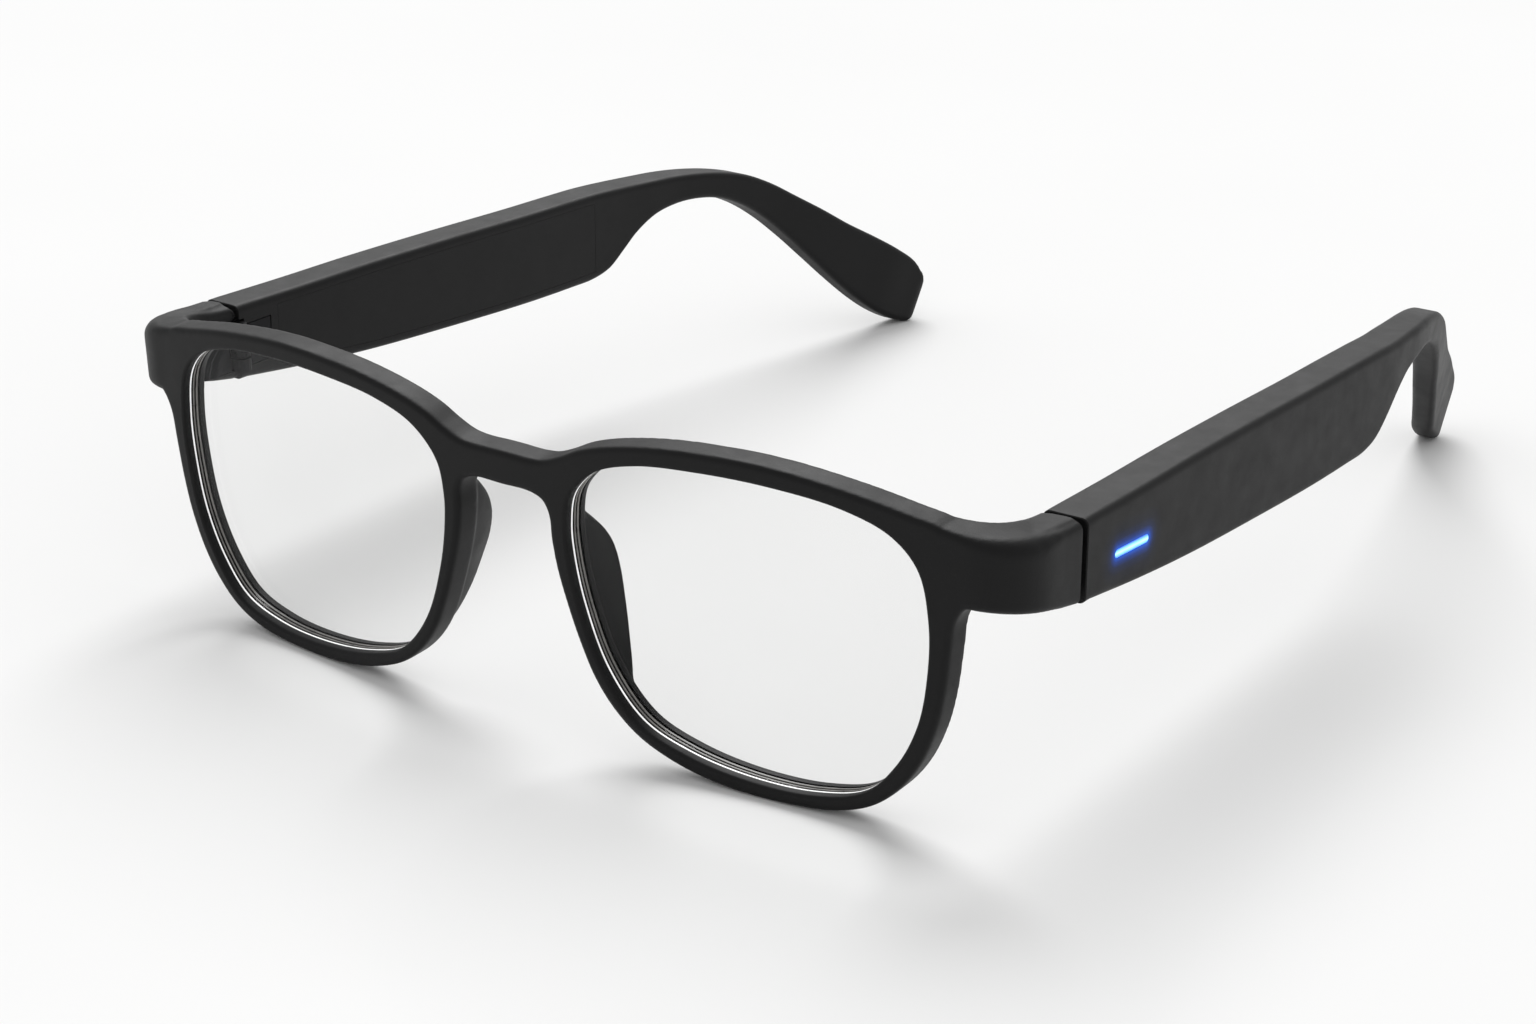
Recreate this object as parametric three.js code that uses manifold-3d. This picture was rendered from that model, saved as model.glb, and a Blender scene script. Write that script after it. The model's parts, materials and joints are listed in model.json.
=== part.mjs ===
// Smart glasses with clear lenses, modelled open and standing on their rims and temple tips.
// Millimetres. +X is the wearer's left, -Y is the way the wearer looks, +Z is up.
// The floor is Z = 0, and the origin is under the middle of the whole object.
import * as THREE from 'three';
import { mergeVertices } from 'three/addons/utils/BufferGeometryUtils.js';
import Module from 'manifold-3d';

const wasm = await Module();
wasm.setup();

// ---------------------------------------------------------------- driving dimensions
const LENS_CENTRE = new THREE.Vector2(35, 22.4); // lens centre, across and up the front
const FACE_RADIUS = 382; // curve of the front, seen from above
const FRONT_TILT = 0.051; // radians that the top of the front leans forward
const RIM_DEPTH = 4.2; // front face to rear face of the rims
const RIM_EDGE = 0.6; // rounding of the rims' edges
const OUTER_X = 70.6; // outer face of the temples at the hinge
const TEMPLE_WIDTH = 6.2;
const TIP_WIDTH = 3.8; // thickness at the temple tips
const TAPER = { from: 84, to: 140 }; // where the temples get thinner, behind the split
const TEMPLE_ROUND = 1.1; // rounding of the temples' long edges
const TEMPLE_TOE_IN = 0.014; // radians that each temple turns inwards
const SPLIT_Y = 19.3; // joint between the end pieces and the temples, behind the front
const SPLIT_GAP = 0.8;
const ORIGIN = new THREE.Vector3(0, 84.763, 0.073); // under the middle of the object
const CLEARANCE = 0.3; // between neighbouring pieces

const LENS_THICKNESS = 1.8;
const LENS_SETBACK = 1.3; // lens front, behind the rim's front face
const LENS_EDGE = 0.5; // how far the lens reaches into its groove
const LENS_BEVEL = 0.3; // how far its faces stop short of the opening

// Corner block from rim to hinge: outer corner, underside and top, at the rim and at the split.
const CORNER = {
  from: 57, bendFrom: 63.8, bendMiddle: 67.9, outerBend: [7.2, 12.2], innerBend: [9.6, 13.6],
  bottom: [31.1, 28.2], top: [40.1, 38.8], overRim: 40.6, rounding: 0.9,
};

const HINGE_AXIS_X = 63.9;
const HINGE_BOTTOM = 29.8;
const KNUCKLE_HEIGHT = 1.8;
const KNUCKLE_RADIUS = 1.4;
const PIN_RADIUS = 0.5;
const LEAF_THICKNESS = 0.8;
const LEAF_LENGTH = 6.6;
const SCREW = { headRadius: 1.05, headHeight: 0.5, slotWidth: 0.3, slotDepth: 0.25 };

const COVER_THICKNESS = 1.2;
const COVER_INSET = 1.4; // housing edge to cover edge
const WALL = 1.2; // outer wall of the temple housings
const CAVITY_INSET = 2.2;

const WIRE_RADIUS = 0.7;
const BUTTON_TRAVEL = 0.4;

// ---------------------------------------------------------------- places inside a temple
// Distances are back from the split, and x is outwards from the temple's middle plane.
const PANEL = { from: 8.2, to: 79 }; // inner cover
const BOARD = { from: 9.5, to: 33, low: 29.8, high: 35, face: 0.4, thickness: 0.8 };
const CHIP = { from: 18, to: 23, low: 30.6, high: 34.4, x: -0.8 };
const BATTERY = { from: 35.5, to: 57.5, low: 27.2, high: 33.2, halfWidth: 1.5 };
const SPEAKER = { from: 61, to: 75, low: 25.9, high: 33.4, xLow: -1.5, xHigh: 1.2 };
const MAGNET = { radius: 2.4, thickness: 0.7, x: 1.3 };
const GRILLE = { middle: 68, length: 11, width: 2.2, bottom: 22.8, thickness: 0.8 };
const GRILLE_HOLES = { radius: 0.4, pitch: 1.5, reach: 4.5 };
const CABLE = { radius: 0.3, length: 26.6, middle: 47.1, height: 33.9 };
const MICROPHONE = { middle: 31.4, halfLength: 1.3, x: -1, low: 29.8, high: 31.4, hole: 0.45 };
const BUTTON = {
  middle: 26, length: 7, width: 2.4, proud: 0.6, height: 2.9, flange: 1.2, flangeHeight: 0.6,
};
const SWITCH = { halfLength: 1.8, x: -1, height: 1.6 };
const CONTACTS = [43, 47];
const CONTACT = { radius: 1, height: 1.8, recess: 0.25 };
const LIGHT = { from: 7.4, to: 15.8, zFrom: 32, zTo: 31.4, radius: 0.65, recess: 0.05 };
const LED = { from: 10.8, to: 12.4, low: 31.2, high: 32.2 };
const SOLDER = 0.02; // between a chip and its board

// ---------------------------------------------------------------- outlines
// Half of the front's outline, across and up, from the top of the bridge to its underside.
const FRONT_TOP = [[0, 38.4], [6.2, 38.5], [9, 39.5], [12, 41], [16, 42.3], [23.5, 43.7],
  [32, 44.3], [40, 44.2], [50, 43], [60, 41], [64, 40.3]];
const FRONT_SIDE = [[64, 31.1], [63.2, 30.3], [62.3, 28.4], [61.8, 24.4], [61, 18.6], [59.9, 14],
  [57.9, 9.2], [55.2, 5.4], [51.6, 2.4], [47, 0.7], [41, 0.05], [35, 0], [29.5, 0.5],
  [24.3, 1.7], [19.4, 3.8], [15.8, 6.7], [13, 10.4], [10.9, 15], [9.1, 20.2], [7.9, 24.6],
  [7.3, 28.5], [7.1, 31.4], [6.2, 33.1], [4.2, 33.8], [0, 33.8]];
// Opening of the left rim, across and up, anticlockwise.
const APERTURE = [[10, 26.2], [11.3, 19.8], [14.4, 11.8], [19.4, 5.9], [26, 3.3], [35, 1.95],
  [44, 2.2], [50.6, 4.1], [54.9, 8.7], [57.7, 14.6], [59, 21.5], [59.2, 28.5], [57.9, 34.9],
  [54.6, 38.5], [48.5, 40.7], [39, 41.7], [29, 41.6], [20.5, 40.7], [14.4, 38.6], [10.7, 34.8],
  [9.8, 30.5]];

// A nose pad's rows: height, distance out from the middle, and reach behind the front face.
const PAD_ROWS = [[31.4, 7.3, 4.6], [30, 7.3, 5.9], [27.5, 7.5, 7.9], [24.6, 8, 9.3],
  [21.4, 8.8, 9.6], [18, 10, 9], [14.6, 11.2, 7.8], [11.4, 12.7, 6.2], [9, 14.3, 4.6]];
const PAD_SPREAD = 0.25; // sideways per millimetre of reach

// Side view of a temple as rungs from top edge to bottom edge, in [distance behind the split,
// height] pairs. The last number is how far the temple has bent inwards there.
const TEMPLE_RUNGS = [
  [[0, 38.8], [0, 28.2], 0],
  [[14, 38.4], [14, 26.35], 0],
  [[28, 38.15], [28, 24.9], 0],
  [[45, 37.6], [45, 23.7], 0],
  [[63, 36.85], [62.5, 22.7], 0],
  [[74, 36.5], [73.5, 22.4], 0],
  [[79.4, 36.3], [79, 22.4], 0],
  [[83, 36.1], [82.8, 23.2], 0.1],
  [[86.4, 35.85], [86.2, 25.3], 0.2],
  [[89.9, 35.6], [89.4, 27.5], 0.4],
  [[93.9, 35.35], [93.6, 29.4], 0.8],
  [[98.9, 35], [98.3, 30.2], 1.3],
  [[104.4, 34.4], [103.5, 30.2], 2.2],
  [[110, 33.4], [108.9, 29.2], 3.3],
  [[115.2, 31.9], [113.9, 27], 4.5],
  [[120.4, 29.5], [118.6, 23.8], 5.8],
  [[125.5, 26.4], [123.3, 19.6], 7.4],
  [[131, 23], [127.9, 14.9], 9.2],
  [[136.3, 19.5], [132.4, 10.3], 10.9],
  [[142.2, 16], [136.7, 6.2], 12.6],
  [[147, 12.9], [140.5, 3.2], 14.1],
  [[150.8, 9.8], [145, 0.8], 15.2],
  [[152.3, 6.4], [148.2, 0.075], 16],
];

const MATERIALS = {
  frame: { color: 0x1c1c1d, roughness: 0.62, metalness: 0 },
  lens: { color: 0xf4f7f8, roughness: 0.04, metalness: 0, transparent: true, opacity: 0.25 },
  steel: { color: 0x9a9c9f, roughness: 0.35, metalness: 1 },
  board: { color: 0x14402a, roughness: 0.6, metalness: 0 },
  battery: { color: 0xb8bcc0, roughness: 0.4, metalness: 0.6 },
  speaker: { color: 0x2b2c2e, roughness: 0.5, metalness: 0.3 },
  gold: { color: 0xc9a24a, roughness: 0.3, metalness: 1 },
  light: { color: 0x4aa8ff, roughness: 0.2, metalness: 0, emissive: 0x1560ff },
  cable: { color: 0x7a3b14, roughness: 0.5, metalness: 0 },
};

// ---------------------------------------------------------------- solids
// Turns a closed geometry into a solid whose faces point out.
function solid(geometry) {
  const bare = new THREE.BufferGeometry();
  bare.setAttribute('position', geometry.getAttribute('position').clone());
  if (geometry.index) bare.setIndex(geometry.index.clone());
  const merged = mergeVertices(bare, 1e-4);
  const points = merged.getAttribute('position');
  const corners = [];
  let volume = 0;
  for (let i = 0; i < merged.index.count; i += 3) {
    const [a, b, c] = [0, 1, 2].map((k) => merged.index.getX(i + k));
    if (a === b || b === c || a === c) continue;
    corners.push(a, b, c);
    const [p, q, r] = [a, b, c].map((k) => new THREE.Vector3().fromBufferAttribute(points, k));
    volume += p.dot(q.cross(r));
  }
  if (volume < 0) corners.reverse();
  return new wasm.Manifold(new wasm.Mesh({
    numProp: 3,
    vertProperties: new Float32Array(points.array),
    triVerts: new Uint32Array(corners),
  }));
}

function geometryOf(shape) {
  const mesh = shape.getMesh();
  const geometry = new THREE.BufferGeometry();
  geometry.setAttribute('position', new THREE.BufferAttribute(mesh.vertProperties, 3));
  geometry.setIndex(new THREE.BufferAttribute(mesh.triVerts, 1));
  return geometry;
}

// Moves every vertex of a solid with a function from point to point.
function warped(shape, place) {
  const geometry = geometryOf(shape);
  const points = geometry.getAttribute('position');
  for (let i = 0; i < points.count; i += 1) {
    const point = place(points.getX(i), points.getY(i), points.getZ(i));
    points.setXYZ(i, point.x, point.y, point.z);
  }
  return solid(geometry);
}

const mirrored = (shape) => warped(shape, (x, y, z) => new THREE.Vector3(-x, y, z));

function union(shapes) {
  return shapes.reduce((whole, shape) => whole.add(shape));
}

// Closed solid through rows of points that all have the same length.
function loft(rows) {
  const around = rows[0].length;
  const points = rows.flat();
  const corners = [];
  for (let row = 0; row < rows.length - 1; row += 1) {
    for (let i = 0; i < around; i += 1) {
      const a = row * around + i;
      const b = row * around + (i + 1) % around;
      corners.push(a, b, b + around, a, b + around, a + around);
    }
  }
  for (const [row, turn] of [[0, -1], [rows.length - 1, 1]]) {
    const hub = points.length;
    points.push(rows[row].reduce((sum, p) => sum.add(p), new THREE.Vector3())
      .divideScalar(around));
    for (let i = 0; i < around; i += 1) {
      const a = row * around + i;
      const b = row * around + (i + 1) % around;
      if (turn > 0) corners.push(a, b, hub);
      else corners.push(b, a, hub);
    }
  }
  const geometry = new THREE.BufferGeometry().setFromPoints(points);
  geometry.setIndex(corners);
  return solid(geometry);
}

function box(low, high) {
  const size = high.map((value, axis) => value - low[axis]);
  const geometry = new THREE.BoxGeometry(...size);
  geometry.translate(...low.map((value, axis) => value + size[axis] / 2));
  return solid(geometry);
}

// Upright round bar between two heights.
function upright(x, y, radius, bottom, top, sides = 16) {
  const geometry = new THREE.CylinderGeometry(radius, radius, top - bottom, sides);
  geometry.rotateX(Math.PI / 2);
  geometry.translate(x, y, (top + bottom) / 2);
  return solid(geometry);
}

// Bar with round ends along Y, drawn across the Y-Z plane and extruded along X.
function pillAcross(xLow, xHigh, yFrom, yTo, zFrom, zTo, radius) {
  const length = Math.hypot(yTo - yFrom, zTo - zFrom) / 2 - radius;
  const shape = new THREE.Shape();
  shape.absarc(length, 0, radius, -Math.PI / 2, Math.PI / 2);
  shape.absarc(-length, 0, radius, Math.PI / 2, 1.5 * Math.PI);
  const geometry = new THREE.ExtrudeGeometry(shape, {
    depth: xHigh - xLow, bevelEnabled: false, curveSegments: 6,
  });
  geometry.rotateZ(Math.atan2(zTo - zFrom, yTo - yFrom));
  geometry.rotateX(Math.PI / 2);
  geometry.rotateZ(Math.PI / 2);
  geometry.translate(xLow, (yFrom + yTo) / 2, (zFrom + zTo) / 2);
  return solid(geometry);
}

// Bar with round ends along Y, standing upright between two heights.
function pillUpright(x, yMiddle, length, width, bottom, top) {
  const radius = width / 2;
  const reach = length / 2 - radius;
  const shape = new THREE.Shape();
  shape.absarc(0, reach, radius, 0, Math.PI);
  shape.absarc(0, -reach, radius, Math.PI, 2 * Math.PI);
  const geometry = new THREE.ExtrudeGeometry(shape, {
    depth: top - bottom, bevelEnabled: false, curveSegments: 6,
  });
  geometry.translate(x, yMiddle, bottom);
  return solid(geometry);
}

// ---------------------------------------------------------------- front
// A place on the front: across, up, and behind the front face.
function onFront(across, up, behind) {
  const depth = across ** 2 / (2 * FACE_RADIUS) + behind;
  return new THREE.Vector3(
    across,
    depth * Math.cos(FRONT_TILT) - up * Math.sin(FRONT_TILT),
    depth * Math.sin(FRONT_TILT) + up * Math.cos(FRONT_TILT),
  );
}

function smooth(points, closed, count) {
  const curve = new THREE.CatmullRomCurve3(
    points.map(([x, y]) => new THREE.Vector3(x, y, 0)), closed, 'centripetal');
  const samples = curve.getSpacedPoints(count);
  return closed ? samples.slice(0, -1) : samples;
}

// The rim opening, grown by a distance all round.
function aperture(side, grow, count = 36) {
  return smooth(APERTURE, true, count).map((point) => {
    const ray = new THREE.Vector2(point.x, point.y).sub(LENS_CENTRE);
    const place = ray.setLength(ray.length() + grow).add(LENS_CENTRE);
    return new THREE.Vector2(side * place.x, place.y);
  });
}

function rimPlate() {
  const half = [...smooth(FRONT_TOP, false, 18), ...smooth(FRONT_SIDE, false, 38)];
  const other = half.slice(1, -1).reverse().map((p) => new THREE.Vector3(-p.x, p.y, 0));
  const around = [...half, ...other].reverse(); // anticlockwise, as the holes need
  const outline = new THREE.Shape(around.map((p) => new THREE.Vector2(p.x, p.y)));
  for (const side of [-1, 1]) outline.holes.push(new THREE.Path(aperture(side, 0)));
  const geometry = new THREE.ExtrudeGeometry(outline, {
    depth: RIM_DEPTH - 2 * RIM_EDGE,
    bevelThickness: RIM_EDGE,
    bevelSize: RIM_EDGE,
    bevelOffset: -RIM_EDGE,
    bevelSegments: 2,
  });
  geometry.translate(0, 0, RIM_EDGE);
  return solid(geometry);
}

// Solid filling the rim opening, from rings of [share of the way out, extra reach, depth].
function openingFill(side, rings) {
  const rim = aperture(side, 0);
  const centre = new THREE.Vector2(side * LENS_CENTRE.x, LENS_CENTRE.y);
  return loft(rings.map(([share, extra, behind]) => rim.map((point) => {
    const ray = point.clone().sub(centre);
    const place = ray.setLength(ray.length() * share + extra).add(centre);
    return onFront(place.x, place.y, behind);
  })));
}

function lensGroove(side) {
  const reach = LENS_EDGE + CLEARANCE + 0.05;
  const front = LENS_SETBACK - CLEARANCE;
  const rear = LENS_SETBACK + LENS_THICKNESS + CLEARANCE;
  return openingFill(side, [[0.5, 0, front], [1, reach, front], [1, reach, rear], [0.5, 0, rear]]);
}

// Corner block that carries the rim round to the hinge.
function endPiece() {
  const { from, bendFrom, bendMiddle, outerBend, innerBend, rounding } = CORNER;
  const inner = OUTER_X - TEMPLE_WIDTH;
  const rear = SPLIT_Y - SPLIT_GAP / 2;
  const frontY = (x) => onFront(x, 35, 0).y;
  const plan = new THREE.Shape();
  plan.moveTo(from, frontY(from));
  plan.lineTo(bendFrom, frontY(bendFrom));
  plan.bezierCurveTo(bendMiddle, frontY(bendMiddle), OUTER_X, outerBend[0],
    OUTER_X, outerBend[1]);
  plan.lineTo(OUTER_X, rear);
  plan.lineTo(inner, rear);
  plan.lineTo(inner, innerBend[1]);
  plan.bezierCurveTo(inner, innerBend[0], inner - 1.8, frontY(inner - 2) + RIM_DEPTH,
    from, frontY(from) + RIM_DEPTH);
  const geometry = new THREE.ExtrudeGeometry(plan, {
    depth: 1, bevelThickness: 0.1, bevelSize: rounding, bevelOffset: -rounding,
    bevelSegments: 2, curveSegments: 6,
  });
  // Heights run from -0.1 to 1.1, and are stretched between the sloping underside and top.
  return warped(solid(geometry), (x, y, z) => {
    const back = THREE.MathUtils.clamp((y - 4) / (SPLIT_Y - 4), 0, 1);
    const bottom = THREE.MathUtils.lerp(...CORNER.bottom, back);
    const top = THREE.MathUtils.lerp(x < 60 ? CORNER.overRim : CORNER.top[0],
      CORNER.top[1], back);
    const level = (z + 0.1) / 1.2;
    const eased = level < 0.5 ? 6 * Math.min(level, 0.1) : 1 - 6 * Math.min(1 - level, 0.1);
    const height = level > 0.1 && level < 0.9 ? level : eased;
    return new THREE.Vector3(x, y, THREE.MathUtils.lerp(bottom, top, height));
  });
}

// Nose pad moulded onto the rear of the rim: a fin that stands back and spreads.
function nosePad() {
  const root = RIM_DEPTH - 1.2;
  const rows = PAD_ROWS.map(([up, across, reach]) => {
    const tip = across + PAD_SPREAD * (reach - root);
    return [[across + 0.3, root], [tip, reach - 0.5], [tip + 0.5, reach], [tip + 1.1, reach],
      [tip + 1.6, reach - 0.5], [across + 2, root]].map(([u, t]) => onFront(u, up, t));
  });
  return loft(rows);
}

const hingeTop = HINGE_BOTTOM + 3 * KNUCKLE_HEIGHT + 2 * CLEARANCE;

// Room for the hinge barrel and for a leaf let into an inner face.
function hingePocket(direction) {
  const face = OUTER_X - TEMPLE_WIDTH;
  const depth = LEAF_THICKNESS + CLEARANCE;
  const far = SPLIT_Y + direction * (LEAF_LENGTH + 2 * CLEARANCE);
  return union([
    box([face - 1, Math.min(far, SPLIT_Y), HINGE_BOTTOM - CLEARANCE],
      [face + depth, Math.max(far, SPLIT_Y), hingeTop + CLEARANCE]),
    upright(HINGE_AXIS_X, SPLIT_Y, KNUCKLE_RADIUS + CLEARANCE + 0.05,
      HINGE_BOTTOM - CLEARANCE, hingeTop + 1),
  ]);
}

function frontFrame() {
  const rims = warped(rimPlate(), onFront);
  const corner = endPiece();
  const pad = nosePad();
  const whole = union([rims, corner, mirrored(corner), pad, mirrored(pad)]);
  const openings = [-1, 1].flatMap((side) => [
    openingFill(side, [[0.5, 0.02, -2], [1, 0.02, -2], [1, 0.02, 12], [0.5, 0.02, 12]]),
    lensGroove(side),
  ]);
  const pocket = hingePocket(-1);
  return [...openings, pocket, mirrored(pocket)].reduce((a, b) => a.subtract(b), whole);
}

function lens(side) {
  const rear = LENS_SETBACK + LENS_THICKNESS;
  const middle = (LENS_SETBACK + rear) / 2;
  return openingFill(side, [[0.35, 0, LENS_SETBACK], [0.7, 0, LENS_SETBACK],
    [1, -LENS_BEVEL, LENS_SETBACK], [1, LENS_EDGE, middle - 0.3],
    [1, LENS_EDGE, middle + 0.3], [1, -LENS_BEVEL, rear], [0.7, 0, rear], [0.35, 0, rear]]);
}

// ---------------------------------------------------------------- hinges
function knuckle(level) {
  const bottom = HINGE_BOTTOM + level * (KNUCKLE_HEIGHT + CLEARANCE);
  return upright(HINGE_AXIS_X, SPLIT_Y, KNUCKLE_RADIUS, bottom, bottom + KNUCKLE_HEIGHT);
}

// A leaf let into an inner face, with its knuckles on the hinge axis.
function hingeLeaf(direction, levels, clearLevels) {
  const face = OUTER_X - TEMPLE_WIDTH;
  const near = SPLIT_Y + direction * CLEARANCE;
  const far = SPLIT_Y + direction * LEAF_LENGTH;
  const plate = box([face, Math.min(near, far), HINGE_BOTTOM],
    [face + LEAF_THICKNESS, Math.max(near, far), hingeTop]);
  const leaf = union([plate, ...levels.map(knuckle)]);
  const cuts = clearLevels.map((level) => {
    const bottom = HINGE_BOTTOM + level * (KNUCKLE_HEIGHT + CLEARANCE);
    return upright(HINGE_AXIS_X, SPLIT_Y, KNUCKLE_RADIUS + CLEARANCE,
      bottom - CLEARANCE, bottom + KNUCKLE_HEIGHT + CLEARANCE);
  });
  const bore = upright(HINGE_AXIS_X, SPLIT_Y, PIN_RADIUS + CLEARANCE,
    HINGE_BOTTOM - 1, hingeTop + 1);
  return [...cuts, bore].reduce((a, b) => a.subtract(b), leaf);
}

function hingeScrew() {
  const { headRadius, headHeight, slotWidth, slotDepth } = SCREW;
  const headBottom = hingeTop + CLEARANCE;
  const headTop = headBottom + headHeight;
  const shank = upright(HINGE_AXIS_X, SPLIT_Y, PIN_RADIUS, HINGE_BOTTOM + 0.2, headBottom + 0.1);
  const head = upright(HINGE_AXIS_X, SPLIT_Y, headRadius, headBottom, headTop);
  const slot = box([HINGE_AXIS_X - 2 * headRadius, SPLIT_Y - slotWidth / 2, headTop - slotDepth],
    [HINGE_AXIS_X + 2 * headRadius, SPLIT_Y + slotWidth / 2, headTop + 1]);
  return shank.add(head).subtract(slot);
}

// ---------------------------------------------------------------- temples
// Inside a temple, x is measured outwards from its middle plane and y back from the split.
const templeMiddle = OUTER_X - TEMPLE_WIDTH / 2;
const inFace = -TEMPLE_WIDTH / 2;
const outFace = TEMPLE_WIDTH / 2;

function rungAt(index) {
  const [top, bottom, bend] = TEMPLE_RUNGS[index];
  const taper = THREE.MathUtils.smoothstep(top[0], TAPER.from, TAPER.to);
  return { top, bottom, bend, width: THREE.MathUtils.lerp(TEMPLE_WIDTH, TIP_WIDTH, taper) };
}

// Rounded rectangle round one rung, shrunk about its middle by a share.
function rungOutline({ top, bottom, bend, width }, share = 1) {
  const middle = new THREE.Vector3(-bend, (top[0] + bottom[0]) / 2, (top[1] + bottom[1]) / 2);
  const along = new THREE.Vector3(0, top[0] - bottom[0], top[1] - bottom[1]);
  const halfHeight = along.length() / 2;
  const upward = along.normalize();
  const radius = TEMPLE_ROUND;
  const points = [];
  for (const [sx, sz, start] of [[1, 1, 0], [-1, 1, 90], [-1, -1, 180], [1, -1, 270]]) {
    for (const step of [0, 45, 90]) {
      const angle = THREE.MathUtils.degToRad(start + step);
      const x = sx * (width / 2 - radius) + radius * Math.cos(angle);
      const z = sz * (halfHeight - radius) + radius * Math.sin(angle);
      points.push(middle.clone().add(new THREE.Vector3(x * share, 0, 0))
        .addScaledVector(upward, z * share));
    }
  }
  return points;
}

function templeBody() {
  const shift = (rung, y, z) => ({
    ...rung,
    top: [rung.top[0] + y, rung.top[1] + z],
    bottom: [rung.bottom[0] + y, rung.bottom[1] + z],
  });
  const rungs = TEMPLE_RUNGS.map((_, index) => rungAt(index));
  return loft([
    rungOutline(shift(rungs[0], SPLIT_GAP / 2, 0)),
    ...rungs.slice(1).map((rung) => rungOutline(rung)),
    rungOutline(shift(rungs.at(-1), 0.7, -0.5), 0.7), // rounded end
  ]);
}

// Height of the top edge (0) or bottom edge (1) at a distance behind the split.
function edgeHeight(y, edge) {
  const next = TEMPLE_RUNGS.findIndex((rung) => rung[edge][0] > y);
  const [a, b] = [TEMPLE_RUNGS[next - 1][edge], TEMPLE_RUNGS[next][edge]];
  return THREE.MathUtils.mapLinear(y, a[0], b[0], a[1], b[1]);
}

// Side-view outline of the wide part of a temple, set in from its edges.
function sidePanel(inset, from, to, xLow, xHigh) {
  const stations = [0, 0.25, 0.5, 0.75, 1].map((share) => THREE.MathUtils.lerp(from, to, share));
  const shape = new THREE.Shape([
    ...stations.map((y) => new THREE.Vector2(y, edgeHeight(y, 1) + inset)),
    ...stations.reverse().map((y) => new THREE.Vector2(y, edgeHeight(y, 0) - inset)),
  ]);
  const geometry = new THREE.ExtrudeGeometry(shape, { depth: xHigh - xLow, bevelEnabled: false });
  geometry.rotateX(Math.PI / 2);
  geometry.rotateZ(Math.PI / 2);
  geometry.translate(xLow, 0, 0);
  return solid(geometry);
}

function coreWire(radius, start, end) {
  const path = new THREE.CatmullRomCurve3(TEMPLE_RUNGS.slice(start, end).map((_, k) => {
    const { top, bottom, bend } = rungAt(start + k);
    return new THREE.Vector3(-bend, (top[0] + bottom[0]) / 2, (top[1] + bottom[1]) / 2);
  }));
  const section = new THREE.Shape();
  section.absarc(0, 0, radius, 0, 2 * Math.PI);
  return solid(new THREE.ExtrudeGeometry(section, {
    steps: 16, extrudePath: path, curveSegments: 4,
  }));
}

function templeHousing(hasControls) {
  const below = 20; // lower than the whole underside
  const stepDepth = inFace + COVER_THICKNESS + CLEARANCE;
  const cuts = [
    sidePanel(COVER_INSET, PANEL.from, PANEL.to, inFace - 1, stepDepth),
    sidePanel(CAVITY_INSET, PANEL.from + 0.8, PANEL.to - 0.8, inFace, outFace - WALL),
    coreWire(WIRE_RADIUS + CLEARANCE, 5, 20),
    hingePocket(1).translate(-templeMiddle, -SPLIT_Y, 0),
    pillUpright(0, GRILLE.middle, GRILLE.length + 2 * CLEARANCE,
      GRILLE.width + 2 * CLEARANCE, below, 27),
    upright(0, MICROPHONE.middle, MICROPHONE.hole, below, 28.5, 10),
    ...CONTACTS.map((y) => upright(0, y, CONTACT.radius + CLEARANCE, below, 28, 16)),
  ];
  if (hasControls) {
    const slot = 2 * CLEARANCE;
    cuts.push(pillUpright(0, BUTTON.middle, BUTTON.length + slot, BUTTON.width + slot,
      below, 28));
    cuts.push(pillUpright(0, BUTTON.middle, BUTTON.length + BUTTON.flange + slot,
      BUTTON.width + BUTTON.flange + slot, buttonTop - BUTTON.flangeHeight - CLEARANCE, 28.6));
    cuts.push(pillAcross(0, outFace + 1, LIGHT.from - CLEARANCE, LIGHT.to + CLEARANCE,
      LIGHT.zFrom, LIGHT.zTo, LIGHT.radius + CLEARANCE));
  }
  return cuts.reduce((a, b) => a.subtract(b), templeBody());
}

function innerCover() {
  const inset = COVER_INSET + CLEARANCE;
  return sidePanel(inset, PANEL.from + CLEARANCE, PANEL.to - CLEARANCE,
    inFace, inFace + COVER_THICKNESS);
}

function speakerDriver() {
  const middle = (SPEAKER.from + SPEAKER.to) / 2;
  const height = (SPEAKER.low + SPEAKER.high) / 2;
  const can = pillAcross(SPEAKER.xLow, SPEAKER.xHigh, SPEAKER.from, SPEAKER.to, height, height,
    (SPEAKER.high - SPEAKER.low) / 2);
  const { radius, thickness, x } = MAGNET;
  const magnet = new THREE.CylinderGeometry(radius, radius, thickness, 24);
  magnet.rotateZ(Math.PI / 2);
  magnet.translate(x, middle, height);
  return can.add(solid(magnet));
}

function speakerGrille() {
  const { middle, length, width, bottom, thickness } = GRILLE;
  const { radius, pitch, reach } = GRILLE_HOLES;
  const plate = pillUpright(0, middle, length, width, bottom, bottom + thickness);
  const holes = [];
  for (let y = -reach; y <= reach; y += pitch) {
    holes.push(upright(0, middle + y, radius, bottom - 1, bottom + thickness + 1, 8));
  }
  return holes.reduce((a, b) => a.subtract(b), plate);
}

// Button heights at rest: the cap stands proud, and the flange keeps it in the housing.
const buttonLow = edgeHeight(BUTTON.middle, 1) - BUTTON.proud;
const buttonTop = buttonLow + BUTTON.height;

function powerButton() {
  const { middle, length, width, flange, flangeHeight } = BUTTON;
  const cap = pillUpright(0, middle, length, width, buttonLow, buttonTop - flangeHeight / 2);
  return cap.add(pillUpright(0, middle, length + flange, width + flange,
    buttonTop - flangeHeight, buttonTop));
}

// ---------------------------------------------------------------- assembly
const model = new THREE.Group();
model.position.copy(ORIGIN).negate();

function addPiece(parent, name, shape, look) {
  const piece = new THREE.Mesh(geometryOf(shape), new THREE.MeshStandardMaterial(look));
  piece.name = name;
  parent.add(piece);
}

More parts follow.
